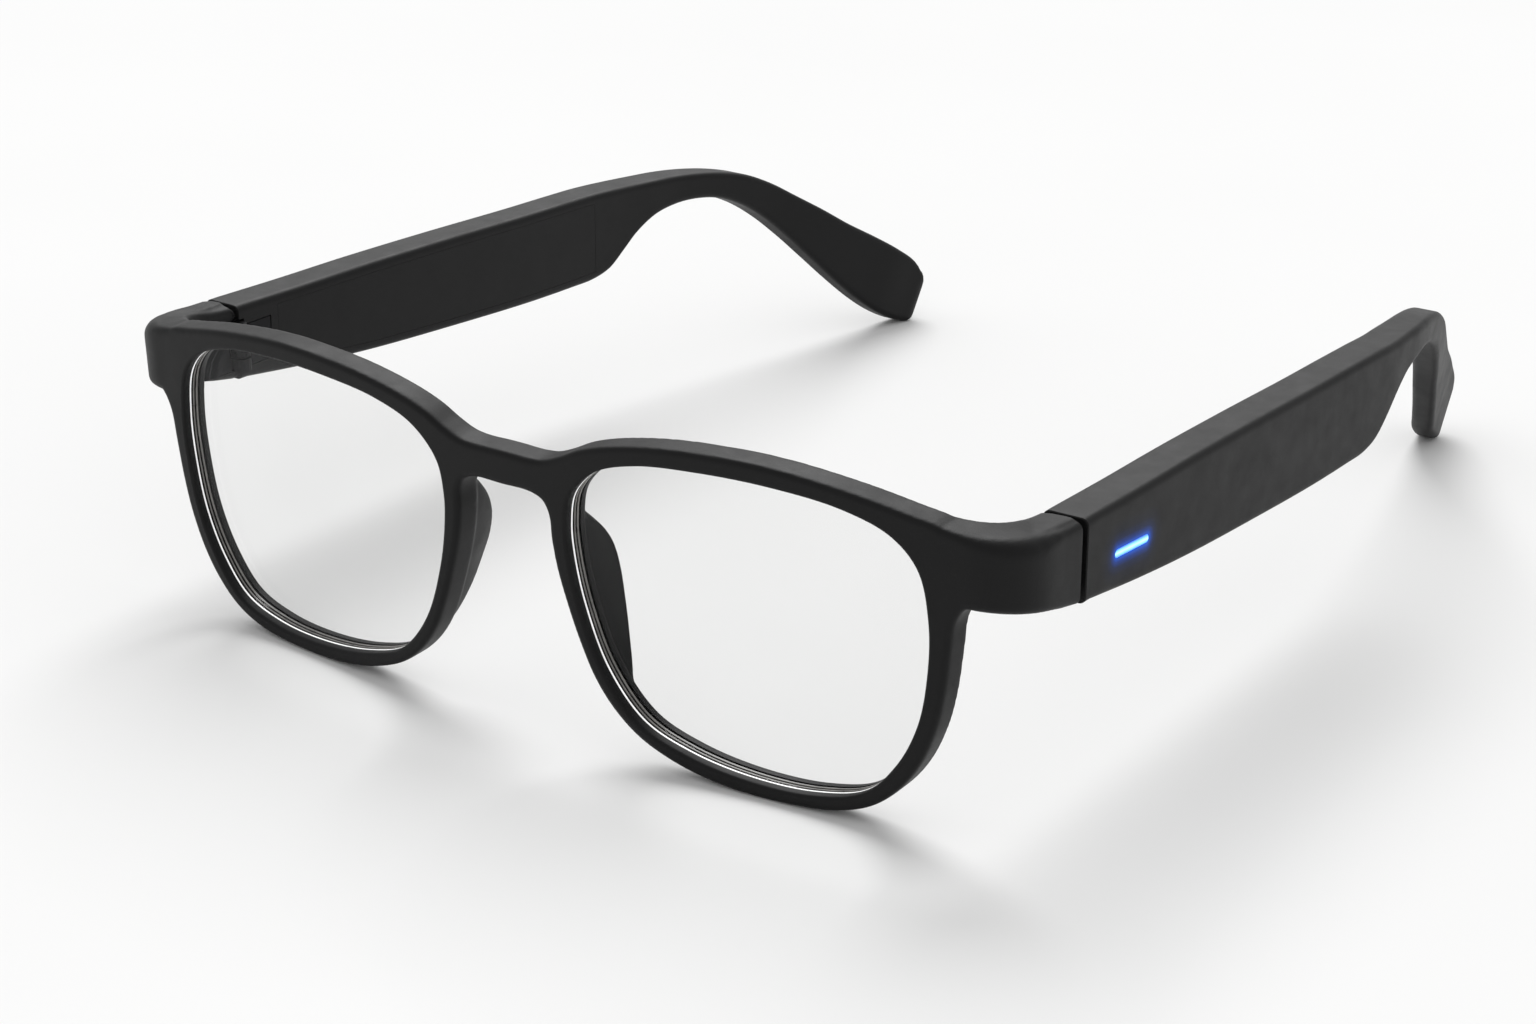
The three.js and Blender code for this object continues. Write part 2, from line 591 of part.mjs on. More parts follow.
addPiece(model, 'front_frame', frontFrame(), MATERIALS.frame);
addPiece(model, 'lens_left', lens(1), MATERIALS.lens);
addPiece(model, 'lens_right', lens(-1), MATERIALS.lens);

for (const [label, side] of [['left', 1], ['right', -1]]) {
  const hasControls = side > 0;
  const facing = (shape) => (side > 0 ? shape : mirrored(shape));
  addPiece(model, `hinge_front_leaf_${label}`, facing(hingeLeaf(-1, [0, 2], [1])),
    MATERIALS.steel);
  addPiece(model, `hinge_screw_${label}`, facing(hingeScrew()), MATERIALS.steel);

  const temple = new THREE.Group();
  temple.position.set(side * templeMiddle, SPLIT_Y, 0);
  temple.rotation.z = side * TEMPLE_TOE_IN;
  model.add(temple);
  const add = (name, shape, look) => addPiece(temple, `${name}_${label}`, facing(shape), look);

  const leaf = hingeLeaf(1, [1], [0, 2]).translate(-templeMiddle, -SPLIT_Y, 0);
  add('hinge_temple_leaf', leaf, MATERIALS.steel);
  add('temple_housing', templeHousing(hasControls), MATERIALS.frame);
  add('temple_inner_cover', innerCover(), MATERIALS.frame);
  add('circuit_board', box([BOARD.face, BOARD.from, BOARD.low],
    [BOARD.face + BOARD.thickness, BOARD.to, BOARD.high]), MATERIALS.board);
  add('processor_chip', box([CHIP.x, CHIP.from, CHIP.low],
    [BOARD.face - SOLDER, CHIP.to, CHIP.high]), MATERIALS.speaker);
  add('battery', box([-BATTERY.halfWidth, BATTERY.from, BATTERY.low],
    [BATTERY.halfWidth, BATTERY.to, BATTERY.high]), MATERIALS.battery);
  add('speaker_driver', speakerDriver(), MATERIALS.speaker);
  add('speaker_grille', speakerGrille(), MATERIALS.steel);
  add('speaker_cable', solid(new THREE.CylinderGeometry(CABLE.radius, CABLE.radius,
    CABLE.length, 10)).translate(0, CABLE.middle, CABLE.height), MATERIALS.cable);
  add('microphone', box([MICROPHONE.x, MICROPHONE.middle - MICROPHONE.halfLength, MICROPHONE.low],
    [BOARD.face - SOLDER, MICROPHONE.middle + MICROPHONE.halfLength, MICROPHONE.high]),
  MATERIALS.battery);
  add('tip_core_wire', coreWire(WIRE_RADIUS, 7, 19), MATERIALS.steel);
  CONTACTS.forEach((y, index) => {
    const bottom = edgeHeight(y, 1) + CONTACT.recess;
    add(`charging_contact_${index + 1}`,
      upright(0, y, CONTACT.radius, bottom, bottom + CONTACT.height, 20), MATERIALS.gold);
  });
  if (hasControls) {
    add('power_button', powerButton(), MATERIALS.frame);
    const above = buttonTop + BUTTON_TRAVEL + CLEARANCE;
    add('button_switch', box([SWITCH.x, BUTTON.middle - SWITCH.halfLength, above],
      [BOARD.face - SOLDER, BUTTON.middle + SWITCH.halfLength, above + SWITCH.height]),
    MATERIALS.steel);
    add('light_bar', pillAcross(outFace - WALL + 0.1, outFace - LIGHT.recess, LIGHT.from,
      LIGHT.to, LIGHT.zFrom, LIGHT.zTo, LIGHT.radius), MATERIALS.light);
    add('status_led', box([BOARD.face + BOARD.thickness + SOLDER, LED.from, LED.low],
      [outFace - WALL - 0.2, LED.to, LED.high]), MATERIALS.light);
  }
}

export default model;
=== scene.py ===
# Smart glasses: fine meshes, materials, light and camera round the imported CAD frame.
import json
import math

import bmesh
import bpy
import numpy as np
from mathutils import Matrix, Vector


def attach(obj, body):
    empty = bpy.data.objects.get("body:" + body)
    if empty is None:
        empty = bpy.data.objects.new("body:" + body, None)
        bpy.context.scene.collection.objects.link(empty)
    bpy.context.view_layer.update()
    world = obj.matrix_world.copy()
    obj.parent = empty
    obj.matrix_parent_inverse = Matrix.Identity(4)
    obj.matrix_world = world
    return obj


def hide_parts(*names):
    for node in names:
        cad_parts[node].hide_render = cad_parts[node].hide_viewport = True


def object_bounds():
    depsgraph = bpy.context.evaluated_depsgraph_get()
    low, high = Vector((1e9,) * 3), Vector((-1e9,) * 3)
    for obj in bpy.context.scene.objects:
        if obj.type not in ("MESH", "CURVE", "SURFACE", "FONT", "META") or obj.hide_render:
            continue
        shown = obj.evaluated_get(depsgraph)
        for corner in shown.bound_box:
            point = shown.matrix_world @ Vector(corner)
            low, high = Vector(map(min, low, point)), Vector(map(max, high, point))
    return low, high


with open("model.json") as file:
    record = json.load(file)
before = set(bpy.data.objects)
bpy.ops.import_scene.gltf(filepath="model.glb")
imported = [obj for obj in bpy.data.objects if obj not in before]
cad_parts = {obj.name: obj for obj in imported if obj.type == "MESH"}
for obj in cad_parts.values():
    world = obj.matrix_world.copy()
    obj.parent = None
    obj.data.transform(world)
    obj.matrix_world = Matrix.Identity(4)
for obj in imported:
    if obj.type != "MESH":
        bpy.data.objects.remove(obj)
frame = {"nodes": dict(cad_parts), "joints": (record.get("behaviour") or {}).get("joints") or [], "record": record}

CAD_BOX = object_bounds()

# Shapes are worked out in millimetres with the front's middle at y = 0, as the design has them,
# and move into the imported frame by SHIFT.
MM = 0.001
HINGES = {j["name"]: Vector(j["pos_m"]) / MM for j in frame["joints"] if "pos_m" in j}
SPLIT_Y = 19.3
LOWEST_Z = 0.073
SHIFT = np.array([0, HINGES["fold_left"].y - SPLIT_Y, -LOWEST_Z])

# ------------------------------------------------------------------ design sizes, mm
LENS_CENTRE = np.array([35, 22.4])
LENS_POINTS = 260          # points round a rim opening
FACE_RADIUS = 382          # wrap of the front round the face
FRONT_TILT = 0.051         # lean of the front, in radians
RIM_DEPTH = 4.2
RIM_ROUND = 0.65
OUTER_X = 70.6
TEMPLE_WIDTH = 6.2
TEMPLE_TOE_IN = 0.014      # in radians
TEMPLE_ROUND = 1.0
EDGE_LOOP = 0.3            # flat strip beside each of a temple's rounded edges
SPLIT_GAP = 1.0
SPLIT_CHAMFER = 0.12       # on the temple's side of the split
FRONT_CHAMFER = 0.3        # on the end piece's side of the split
TIP_WIDTH = 3.8
TAPER_START = 84           # where a temple begins to narrow to its tip's width
TAPER_LENGTH = 56
LENS_THICKNESS = 1.8
LENS_SETBACK = 1.3
LENS_EDGE = 0.4            # how far a lens reaches into its groove
LENS_BEVEL = 0.16
GROOVE_PLAY = 0.06         # room in front of and behind a lens in its groove
GROOVE_DEPTH = LENS_EDGE + 0.08
WALL = 1.2
SEAM = 0.02
VOXEL = 0.27               # grain of the front's one skin

FRONT_TOP = [[0, 38.4], [6.2, 38.5], [9, 39.5], [12, 41], [16, 42.3], [23.5, 43.7],
             [32, 44.3], [40, 44.2], [50, 43]]
BROW_END = [[60, 41], [64, 40.3], [67, 39.8], [71, 39]]    # carries on over the corner block
FRONT_SIDE = [[57, 41.62], [60, 40.98], [61.3, 40.3], [62, 38.6], [62.6, 35.4], [63.5, 33.4],
              [64, 32.2], [63.8, 31.1], [63.1, 30.2], [62.3, 28.4], [61.8, 24.4], [61, 18.6],
              [59.9, 14], [57.9, 9.2], [55.2, 5.4], [51.6, 2.4], [47, 0.7], [41, 0.05],
              [35, 0], [29.5, 0.5], [24.3, 1.7], [19.4, 3.8], [15.8, 6.7], [13, 10.4],
              [10.9, 15], [9.1, 20.2], [7.9, 24.6], [7.3, 28.5], [7.1, 31.4], [6.2, 33.1],
              [4.2, 33.8], [0, 33.8]]
APERTURE = [[10, 26.2], [11.3, 19.8], [14.4, 11.8], [19.4, 5.9], [26, 3.3], [35, 1.95],
            [44, 2.2], [50.6, 4.1], [54.9, 8.7], [57.7, 14.6], [59, 21.5], [59.2, 28.5],
            [57.9, 34.9], [54.6, 38.5], [48.5, 40.7], [39, 41.7], [29, 41.6], [20.5, 40.7],
            [14.4, 38.6], [10.7, 34.8], [9.8, 30.5]]
# A temple's side view: top edge, bottom edge (back from the split, height) and inward bend.
TEMPLE_RUNGS = [
    [0, 38.8, 0, 28.2, 0], [14, 38.4, 14, 26.35, 0], [28, 38.15, 28, 24.9, 0],
    [45, 37.6, 45, 23.7, 0], [63, 36.85, 62.5, 22.7, 0], [74, 36.5, 73.5, 22.4, 0],
    [79.4, 36.3, 79, 22.4, 0], [83, 36.1, 82.8, 23.2, 0.1], [86.4, 35.85, 86.2, 25.3, 0.2],
    [89.9, 35.6, 89.4, 27.5, 0.4], [93.9, 35.35, 93.6, 29.4, 0.8], [98.9, 35, 98.3, 30.2, 1.3],
    [104.4, 34.4, 103.5, 30.2, 2.2], [110, 33.4, 108.9, 29.2, 3.3], [115.2, 31.9, 113.9, 27, 4.5],
    [120.4, 29.5, 118.6, 23.8, 5.8], [125.5, 26.4, 123.3, 19.6, 7.4], [131, 23, 127.9, 14.9, 9.2],
    [136.3, 19.5, 132.4, 10.3, 10.9], [142.2, 16, 136.7, 6.2, 12.6],
    [147, 12.9, 140.5, 3.2, 14.1], [150.8, 9.8, 145, 0.8, 15.2], [152.3, 6.4, 148.2, 0.075, 16],
]
# Nose pad rows: height, distance out from the middle, reach behind the front face.
PAD_ROWS = [[32.8, 7.2, 3.4], [31.4, 7.3, 4.6], [30, 7.3, 5.9], [27.5, 7.5, 7.9],
            [24.6, 8, 9.3], [21.4, 8.8, 9.6], [18, 10, 9], [14.6, 11.2, 7.8],
            [11.4, 12.7, 6.2], [9, 14.3, 4.6], [7.6, 15.4, 3.2]]
PAD_SPREAD = 0.25          # how much a pad flares as it reaches back
PAD_ROOT = 1.4             # how deep a pad's root sits in the rim
PAD_FOOT = (0.35, 2.1)     # where its section leaves the rim
PAD_CROWN = [(-0.05, 0.9), (0.25, 0.25), (0.8, 0), (1.35, 0.25), (1.6, 0.9)]

# End piece, across: where it joins the rim, and the outer and inner bends back to the hinge.
CORNER = {"joins": 57, "starts": 54.4, "bend_from": 63.8, "bend_middle": 67.9,
          "outer_bend": (7.2, 12.2), "inner_bend": (13.6, 9.6), "inner_from": 62.6,
          "inner_face": 62, "bottom": 31.1, "drop": 2.9, "top": 38.8}
CORNER_MIDDLE = 35.0       # height about which an end piece leans
HINGE = {"bottom": 29.8, "top": 35.8, "leaf_length": 6.8, "leaf_depth": 0.9, "play": 0.12,
         "barrel_room": 1.62}
# Rings on a lens's edge: depth of the start behind the lens's face, and width.
LENS_RINGS = {"front": (0.03, 0.2), "middle": (0.62, 0.2), "rear": (1.18, 0.26)}
RING_REACH = 0.1

# Places inside a temple, back from the split.
PANEL = (8.2, 79)
COVER_INSET = 1.4
COVER_THICKNESS = 1.2
CAVITY_INSET = 2.2
LIGHT = {"from": 7.4, "to": 15.8, "z_from": 32, "z_to": 31.4, "radius": 0.55}
GRILLE = {"middle": 68, "length": 11, "width": 2.2}
BUTTON = {"middle": 26, "length": 7, "width": 2.4, "flange": 1.2}
CONTACTS = (43, 47)
CONTACT_HOLE = 1.08
MIC_Y = 31.4
MIC_HOLE = 0.45
BELOW = 20                 # height under every temple's underside, where its cutters start
# Round end of an ear hook: distance past the last rung, and share of its section.
HOOK_END = [(0.5, 0.985), (1.0, 0.93), (1.5, 0.83), (1.9, 0.68), (2.1, 0.45)]

# ------------------------------------------------------------------ view and light
HALO_REACH = 0.0042        # how far the lit bar's blue spills, in metres
CAMERA = {"azimuth": 35.06, "elevation": 21.85, "roll": 0.23, "lens": 75.84375,
          "right": 32.075, "up": 27.929, "back": 412.1, "pivot_z": -0.4}
WORLD_STRENGTH = 0.66
KEY = {"energy": 2.25, "spread": 40, "towards": (2.0, -3.05, -4.05)}
FLOOR_SIZE = 6
FLOOR_GAP = 0.00002


# ------------------------------------------------------------------ curves
def catmull(points, closed, count):
    """Evenly spaced points on the centripetal Catmull-Rom curve through the given ones."""
    p = np.array(points, float)
    if closed:
        p = np.vstack([p[-1], p, p[0], p[1]])
    else:
        p = np.vstack([2 * p[0] - p[1], p, 2 * p[-1] - p[-2]])
    dense = []
    for a, b, c, d in zip(p, p[1:], p[2:], p[3:]):
        gaps = [max(np.linalg.norm(y - x), 1e-9) ** 0.5 for x, y in ((a, b), (b, c), (c, d))]
        t0, t1 = 0, gaps[0]
        t2, t3 = t1 + gaps[1], t1 + gaps[1] + gaps[2]
        for t in np.linspace(t1, t2, 24, endpoint=False):
            ab = ((t1 - t) * a + (t - t0) * b) / (t1 - t0)
            bc = ((t2 - t) * b + (t - t1) * c) / (t2 - t1)
            cd = ((t3 - t) * c + (t - t2) * d) / (t3 - t2)
            abc = ((t2 - t) * ab + (t - t0) * bc) / (t2 - t0)
            bcd = ((t3 - t) * bc + (t - t1) * cd) / (t3 - t1)
            dense.append(((t2 - t) * abc + (t - t1) * bcd) / (t2 - t1))
    dense.append(p[-2])
    return resampled(np.array(dense), count)[: -1 if closed else None]


def resampled(points, count):
    """The same path as count + 1 evenly spaced points."""
    steps = np.linalg.norm(np.diff(points, axis=0), axis=1)
    length = np.concatenate([[0], np.cumsum(steps)])
    at = np.linspace(0, length[-1], count + 1)
    return np.stack([np.interp(at, length, points[:, k]) for k in range(points.shape[1])], 1)


def inset(outline, distance):
    """A closed outline moved towards its inside by a distance. It must run anticlockwise."""
    ahead = np.roll(outline, -1, 0) - np.roll(outline, 1, 0)
    ahead /= np.linalg.norm(ahead, axis=1)[:, None]
    return outline + distance * np.stack([-ahead[:, 1], ahead[:, 0]], 1)


def anticlockwise(outline):
    """The outline in the order that inset needs."""
    x, y = outline.T
    area = np.sum(x * np.roll(y, -1) - np.roll(x, -1) * y)
    return outline if area > 0 else outline[::-1]


def quarter(radius, steps=4):
    """(depth, inset) pairs of a rounded edge, from the face to the side."""
    turns = np.linspace(0, math.pi / 2, steps + 1)
    return [(radius * (1 - math.sin(a)), radius * (1 - math.cos(a))) for a in turns[::-1]]


def on_front(u, v, t):
    """Design place of a point across, up and behind the front face."""
    depth = u ** 2 / (2 * FACE_RADIUS) + t
    return np.stack([u, depth * math.cos(FRONT_TILT) - v * math.sin(FRONT_TILT),
                     depth * math.sin(FRONT_TILT) + v * math.cos(FRONT_TILT)], -1)


def off_front(p):
    """The opposite of on_front."""
    depth = p[:, 1] * math.cos(FRONT_TILT) + p[:, 2] * math.sin(FRONT_TILT)
    up = -p[:, 1] * math.sin(FRONT_TILT) + p[:, 2] * math.cos(FRONT_TILT)
    return np.stack([p[:, 0], up, depth - p[:, 0] ** 2 / (2 * FACE_RADIUS)], 1)


def lens_outline(side, grow):
    """Edge of a rim opening, grown outward, on one side of the front."""
    rim = catmull(APERTURE, True, LENS_POINTS)
    ray = rim - LENS_CENTRE
    length = np.linalg.norm(ray, axis=1)[:, None]
    out = LENS_CENTRE + ray * (length + grow) / length
    return np.stack([side * out[:, 0], out[:, 1]], 1)


# ------------------------------------------------------------------ meshes
def mesh_object(name, points, faces):
    """An object in the scene from points and faces, with its faces pointing out."""
    data = bpy.data.meshes.new(name)
    data.from_pydata([tuple(p) for p in points], [], [tuple(f) for f in faces])
    data.update()
    made = bpy.data.objects.new(name, data)
    bpy.context.scene.collection.objects.link(made)
    work = bmesh.new()
    work.from_mesh(data)
    bmesh.ops.recalc_face_normals(work, faces=work.faces)
    if work.calc_volume(signed=True) < 0:
        bmesh.ops.reverse_faces(work, faces=work.faces)
    work.to_mesh(data)
    work.free()
    return made


def loft(name, rows):
    """Closed mesh through rows of points that all have the same length."""
    rows = np.array(rows)
    count, around = rows.shape[:2]
    faces = []
    for r in range(count - 1):
        for i in range(around):
            a, b = r * around + i, r * around + (i + 1) % around
            faces.append((a, b, b + around, a + around))
    faces += [range(around), range((count - 1) * around, count * around)]
    return mesh_object(name, rows.reshape(-1, 3), faces)


def applied(made):
    """Applies an object's modifiers to its mesh."""
    graph = bpy.context.evaluated_depsgraph_get()
    data = bpy.data.meshes.new_from_object(made.evaluated_get(graph))
    old = made.data
    made.modifiers.clear()
    made.data = data
    bpy.data.meshes.remove(old)
    return made


def remove(made):
    """Deletes an object and its mesh."""
    data = made.data
    bpy.data.objects.remove(made)
    bpy.data.meshes.remove(data)


def joined(name, parts):
    """One object that holds every part's mesh."""
    points, faces = [], []
    for part in parts:
        start = len(points)
        points += [v.co[:] for v in part.data.vertices]
        faces += [[start + i for i in face.vertices] for face in part.data.polygons]
        remove(part)
    return mesh_object(name, points, faces)


def merged_smooth(made, voxel, rounds):
    """One skin over overlapping closed shapes, with softened edges."""
    remesh = made.modifiers.new("skin", "REMESH")
    remesh.mode = "VOXEL"
    remesh.voxel_size = voxel
    remesh.use_smooth_shade = True
    soften = made.modifiers.new("soften", "SMOOTH")
    soften.factor = 0.5
    soften.iterations = rounds
    return applied(made)


def cut(made, cutters):
    """Takes the cutters out of a solid, and deletes them."""
    for cutter in cutters:
        change = made.modifiers.new("cut", "BOOLEAN")
        change.operation = "DIFFERENCE"
        change.solver = "MANIFOLD"
        change.object = cutter
        applied(made)
        remove(cutter)
    return made


def moved(made, place):
    """Moves every vertex with a function of an array of points."""
    co = np.empty(len(made.data.vertices) * 3, np.float32)
    made.data.vertices.foreach_get("co", co)
    out = np.ascontiguousarray(place(co.reshape(-1, 3).astype(float)), np.float32)
    made.data.vertices.foreach_set("co", out.ravel())
    made.data.update()
    return made


def mirrored(made, name):
    """A mirror image of a piece across the middle plane."""
    data = made.data.copy()
    data.transform(Matrix.Scale(-1, 4, (1, 0, 0)))
    data.flip_normals()
    data.name = name
    other = bpy.data.objects.new(name, data)
    bpy.context.scene.collection.objects.link(other)
    return other


def finished(made, material, body, replaced=(), sharp=40, weighted=False):
    """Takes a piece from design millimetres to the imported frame, and gives it its looks."""
    moved(made, lambda p: np.clip((p + SHIFT) * MM, *CAD_BOX))
    work = bmesh.new()
    work.from_mesh(made.data)
    bmesh.ops.dissolve_degenerate(work, dist=1e-7, edges=work.edges)
    for face in work.faces:
        face.smooth = True
    for edge in work.edges:
        edge.smooth = edge.calc_face_angle(0) < math.radians(sharp)
    work.to_mesh(made.data)
    work.free()
    if weighted:
        made.modifiers.new("flat", "WEIGHTED_NORMAL").keep_sharp = True
        applied(made)
    made.data.materials.clear()
    made.data.materials.append(material)
    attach(made, body)
    if replaced:
        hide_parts(*replaced)
    return made


def box(low, high):
    """Upright block between two corners."""
    x, y, z = zip(low, high)
    points = [(x[i], y[j], z[k]) for i in (0, 1) for j in (0, 1) for k in (0, 1)]
    faces = [(0, 1, 3, 2), (4, 6, 7, 5), (0, 4, 5, 1), (2, 3, 7, 6), (0, 2, 6, 4), (1, 5, 7, 3)]
    return mesh_object("box", points, faces)


def pill(length, width, steps=12):
    """Outline of a bar with round ends, long in its second direction."""
    turns = np.linspace(0, math.pi, steps + 1)
    top = np.stack([np.cos(turns), np.sin(turns)], 1) * width / 2 + [0, (length - width) / 2]
    return np.vstack([top, -top])


def upright_bar(outline, x, y, levels):
    """Outline drawn in plan at (height, inset) levels."""
    rows = [np.column_stack([inset(outline, d) + [x, y], np.full(len(outline), z)])
            for z, d in levels]
    return loft("bar", rows)


def across_bar(outline, y, z, tilt, levels):
    """Outline drawn in side view, long along y, at (x, inset) levels."""
    rows = []
    for x, d in levels:
        flat = inset(outline, d)
        up, along = flat[:, 0], flat[:, 1]
        rows.append(np.column_stack([
            np.full(len(flat), x),
            y + along * math.cos(tilt) - up * math.sin(tilt),
            z + along * math.sin(tilt) + up * math.cos(tilt)]))
    return loft("bar", rows)


def circle(radius, steps=28):
    """Outline of a round hole."""
    turns = np.linspace(0, 2 * math.pi, steps, endpoint=False)
    return radius * np.stack([np.cos(turns), np.sin(turns)], 1)


# ------------------------------------------------------------------ materials
def new_material(name):
    """A node material, with its nodes, links and main shader."""
    made = bpy.data.materials.new(name)
    made.use_nodes = True
    nodes = made.node_tree.nodes
    return made, nodes, made.node_tree.links, nodes["Principled BSDF"]


def node(nodes, kind, **values):
    """A new node, with its inputs or settings given by name."""
    made = nodes.new(kind)
    for key, value in values.items():
        if key in made.inputs:
            made.inputs[key].default_value = value
        else:
            setattr(made, key, value)
    return made


def ramp(nodes, stops):
    """A colour ramp through (place, colour) stops."""
    made = nodes.new("ShaderNodeValToRGB")
    bar = made.color_ramp
    while len(bar.elements) < len(stops):
        bar.elements.new(0.5)
    for element, (place, value) in zip(bar.elements, stops):
        element.position = place
        element.color = (*value, 1)
    return made


def textured(name, pattern, tones, roughs, bump, grain=None, stretch=None):
    """Material whose colour and roughness follow a pattern, with a bump from it or from a grain.

    Tones and roughs are the (place, value) stops of two ramps, and bump is (strength, depth).
    """
    made, nodes, links, shader = new_material(name)
    place = nodes.new("ShaderNodeTexCoord").outputs["Object"]
    if stretch:
        turn = node(nodes, "ShaderNodeMapping")
        turn.inputs["Scale"].default_value = stretch
        links.new(place, turn.inputs["Vector"])
        place = turn.outputs["Vector"]
    spots = node(nodes, **pattern)
    links.new(place, spots.inputs["Vector"])
    fine = spots
    if grain:
        fine = node(nodes, **grain)
        links.new(place, fine.inputs["Vector"])
    tone = ramp(nodes, tones)
    rough = ramp(nodes, [(at, (value,) * 3) for at, value in roughs])
    relief = node(nodes, "ShaderNodeBump", Strength=bump[0], Distance=bump[1])
    links.new(spots.outputs[0], tone.inputs["Fac"])
    links.new(spots.outputs[0], rough.inputs["Fac"])
    links.new(fine.outputs[0], relief.inputs["Height"])
    links.new(tone.outputs["Color"], shader.inputs["Base Color"])
    links.new(rough.outputs["Color"], shader.inputs["Roughness"])
    links.new(relief.outputs["Normal"], shader.inputs["Normal"])
    return made, shader, tone.outputs["Color"]


def noise(scale, detail, **values):
    """Settings of a noise texture, for textured."""
    return {"kind": "ShaderNodeTexNoise", "Scale": scale, "Detail": detail, **values}


def matte_black(name, glow_at=None):
    """Fine-grained black plastic: mottled colour and roughness, and a sandy grain."""
    made, shader, _ = textured(
        name, noise(260.0, 5.0, Roughness=0.6),
        [(0.3, (0.0046, 0.0046, 0.0048)), (0.7, (0.0068, 0.0068, 0.0071))],
        [(0.3, 0.44), (0.72, 0.54)], (0.45, 0.00005), grain=noise(5200.0, 3.0, Roughness=0.7))
    shader.inputs["IOR"].default_value = 1.265
    if glow_at is not None:
        add_halo(made, shader, *glow_at)
    return made


def add_halo(made, shader, start, end):
    """Blue light that spills on the surface round a lit bar from start to end."""
    nodes, links = made.node_tree.nodes, made.node_tree.links
    place = nodes.new("ShaderNodeTexCoord").outputs["Object"]
    along = (end - start).normalized()
    from_start = node(nodes, "ShaderNodeVectorMath", operation="SUBTRACT")
    from_start.inputs[1].default_value = start
    reach = node(nodes, "ShaderNodeVectorMath", operation="DOT_PRODUCT")
    reach.inputs[1].default_value = along
    limit = node(nodes, "ShaderNodeClamp")
    limit.inputs["Max"].default_value = (end - start).length
    back = node(nodes, "ShaderNodeVectorMath", operation="SCALE")
    back.inputs[0].default_value = along
    gap = node(nodes, "ShaderNodeVectorMath", operation="SUBTRACT")
    size = node(nodes, "ShaderNodeVectorMath", operation="LENGTH")
    share = node(nodes, "ShaderNodeMapRange")
    share.inputs["From Max"].default_value = HALO_REACH
    fade = ramp(nodes, [(0.0, (0.01, 0.16, 0.95)), (0.16, (0.004, 0.075, 0.5)),
                        (0.27, (0.002, 0.03, 0.2)), (0.42, (0.0006, 0.008, 0.045)),
                        (0.65, (0.0002, 0.0016, 0.008)), (1.0, (0, 0, 0))])
    links.new(place, from_start.inputs[0])
    links.new(from_start.outputs["Vector"], reach.inputs[0])
    links.new(reach.outputs["Value"], limit.inputs["Value"])
    links.new(limit.outputs[0], back.inputs["Scale"])
    links.new(from_start.outputs["Vector"], gap.inputs[0])
    links.new(back.outputs["Vector"], gap.inputs[1])
    links.new(gap.outputs["Vector"], size.inputs[0])
    links.new(size.outputs["Value"], share.inputs["Value"])
    links.new(share.outputs["Result"], fade.inputs["Fac"])
    links.new(fade.outputs["Color"], shader.inputs["Emission Color"])
    shader.inputs["Emission Strength"].default_value = 1.0


def clear_lens():
    """Thin coated lens: lets the light straight through, with a faint reflection."""
    made = bpy.data.materials.new("clear_lens")
    made.use_nodes = True
    nodes, links = made.node_tree.nodes, made.node_tree.links
    nodes.remove(nodes["Principled BSDF"])
    place = nodes.new("ShaderNodeTexCoord").outputs["Object"]
    haze = node(nodes, "ShaderNodeTexNoise", Scale=40.0, Detail=3.0)
    tint = ramp(nodes, [(0.3, (0.954, 0.955, 0.954)), (0.7, (0.962, 0.963, 0.962))])
    rough = ramp(nodes, [(0.35, (0.03,) * 3), (0.8, (0.07,) * 3)])
    bump = node(nodes, "ShaderNodeBump", Strength=0.05, Distance=0.00002)
    through = nodes.new("ShaderNodeBsdfTransparent")
    shine = nodes.new("ShaderNodeBsdfGlossy")
    facing = nodes.new("ShaderNodeLayerWeight")
    sharper = node(nodes, "ShaderNodeMath", operation="POWER")
    sharper.inputs[1].default_value = 4
    share = node(nodes, "ShaderNodeMath", operation="MULTIPLY_ADD")
    share.inputs[1].default_value = 0.4
    share.inputs[2].default_value = 0.004
    mix = nodes.new("ShaderNodeMixShader")
    links.new(place, haze.inputs["Vector"])
    for made_ramp in (tint, rough):
        links.new(haze.outputs["Fac"], made_ramp.inputs["Fac"])
    links.new(haze.outputs["Fac"], bump.inputs["Height"])
    links.new(bump.outputs["Normal"], shine.inputs["Normal"])
    links.new(tint.outputs["Color"], through.inputs["Color"])
    links.new(rough.outputs["Color"], shine.inputs["Roughness"])
    links.new(facing.outputs["Facing"], sharper.inputs[0])
    links.new(sharper.outputs[0], share.inputs[0])
    links.new(share.outputs[0], mix.inputs["Fac"])
    links.new(through.outputs["BSDF"], mix.inputs[1])
    links.new(shine.outputs["BSDF"], mix.inputs[2])
    links.new(mix.outputs["Shader"], nodes["Material Output"].inputs["Surface"])
    return made


def lens_edge_look(name, dark, light, glow):
    """Ground edge of a lens or bright ring on its bevel, in two tones that are also emitted: a painted glow, and
    on the bevel a painted highlight.
    """
    made, shader, tone = textured(name, noise(600.0, 4.0), [(0.3, dark), (0.7, light)],
                                  [(0.3, 0.25), (0.7, 0.4)], (0.1, 0.00002))
    # Painted glow: the edge's own tone is also emitted, standing in for light the edge gathers.
    made.node_tree.links.new(tone, shader.inputs["Emission Color"])
    shader.inputs["Emission Strength"].default_value = glow
    return made


def metal(name, colour, rough_low, rough_high, stretch):
    """Metal with fine lines along one direction."""
    made, shader, _ = textured(name, noise(900.0, 4.0),
                               [(0.3, tuple(c * 0.86 for c in colour)), (0.7, colour)],
                               [(0.3, rough_low), (0.7, rough_high)], (0.15, 0.00003),
                               stretch=stretch)
    shader.inputs["Metallic"].default_value = 1.0
    return made


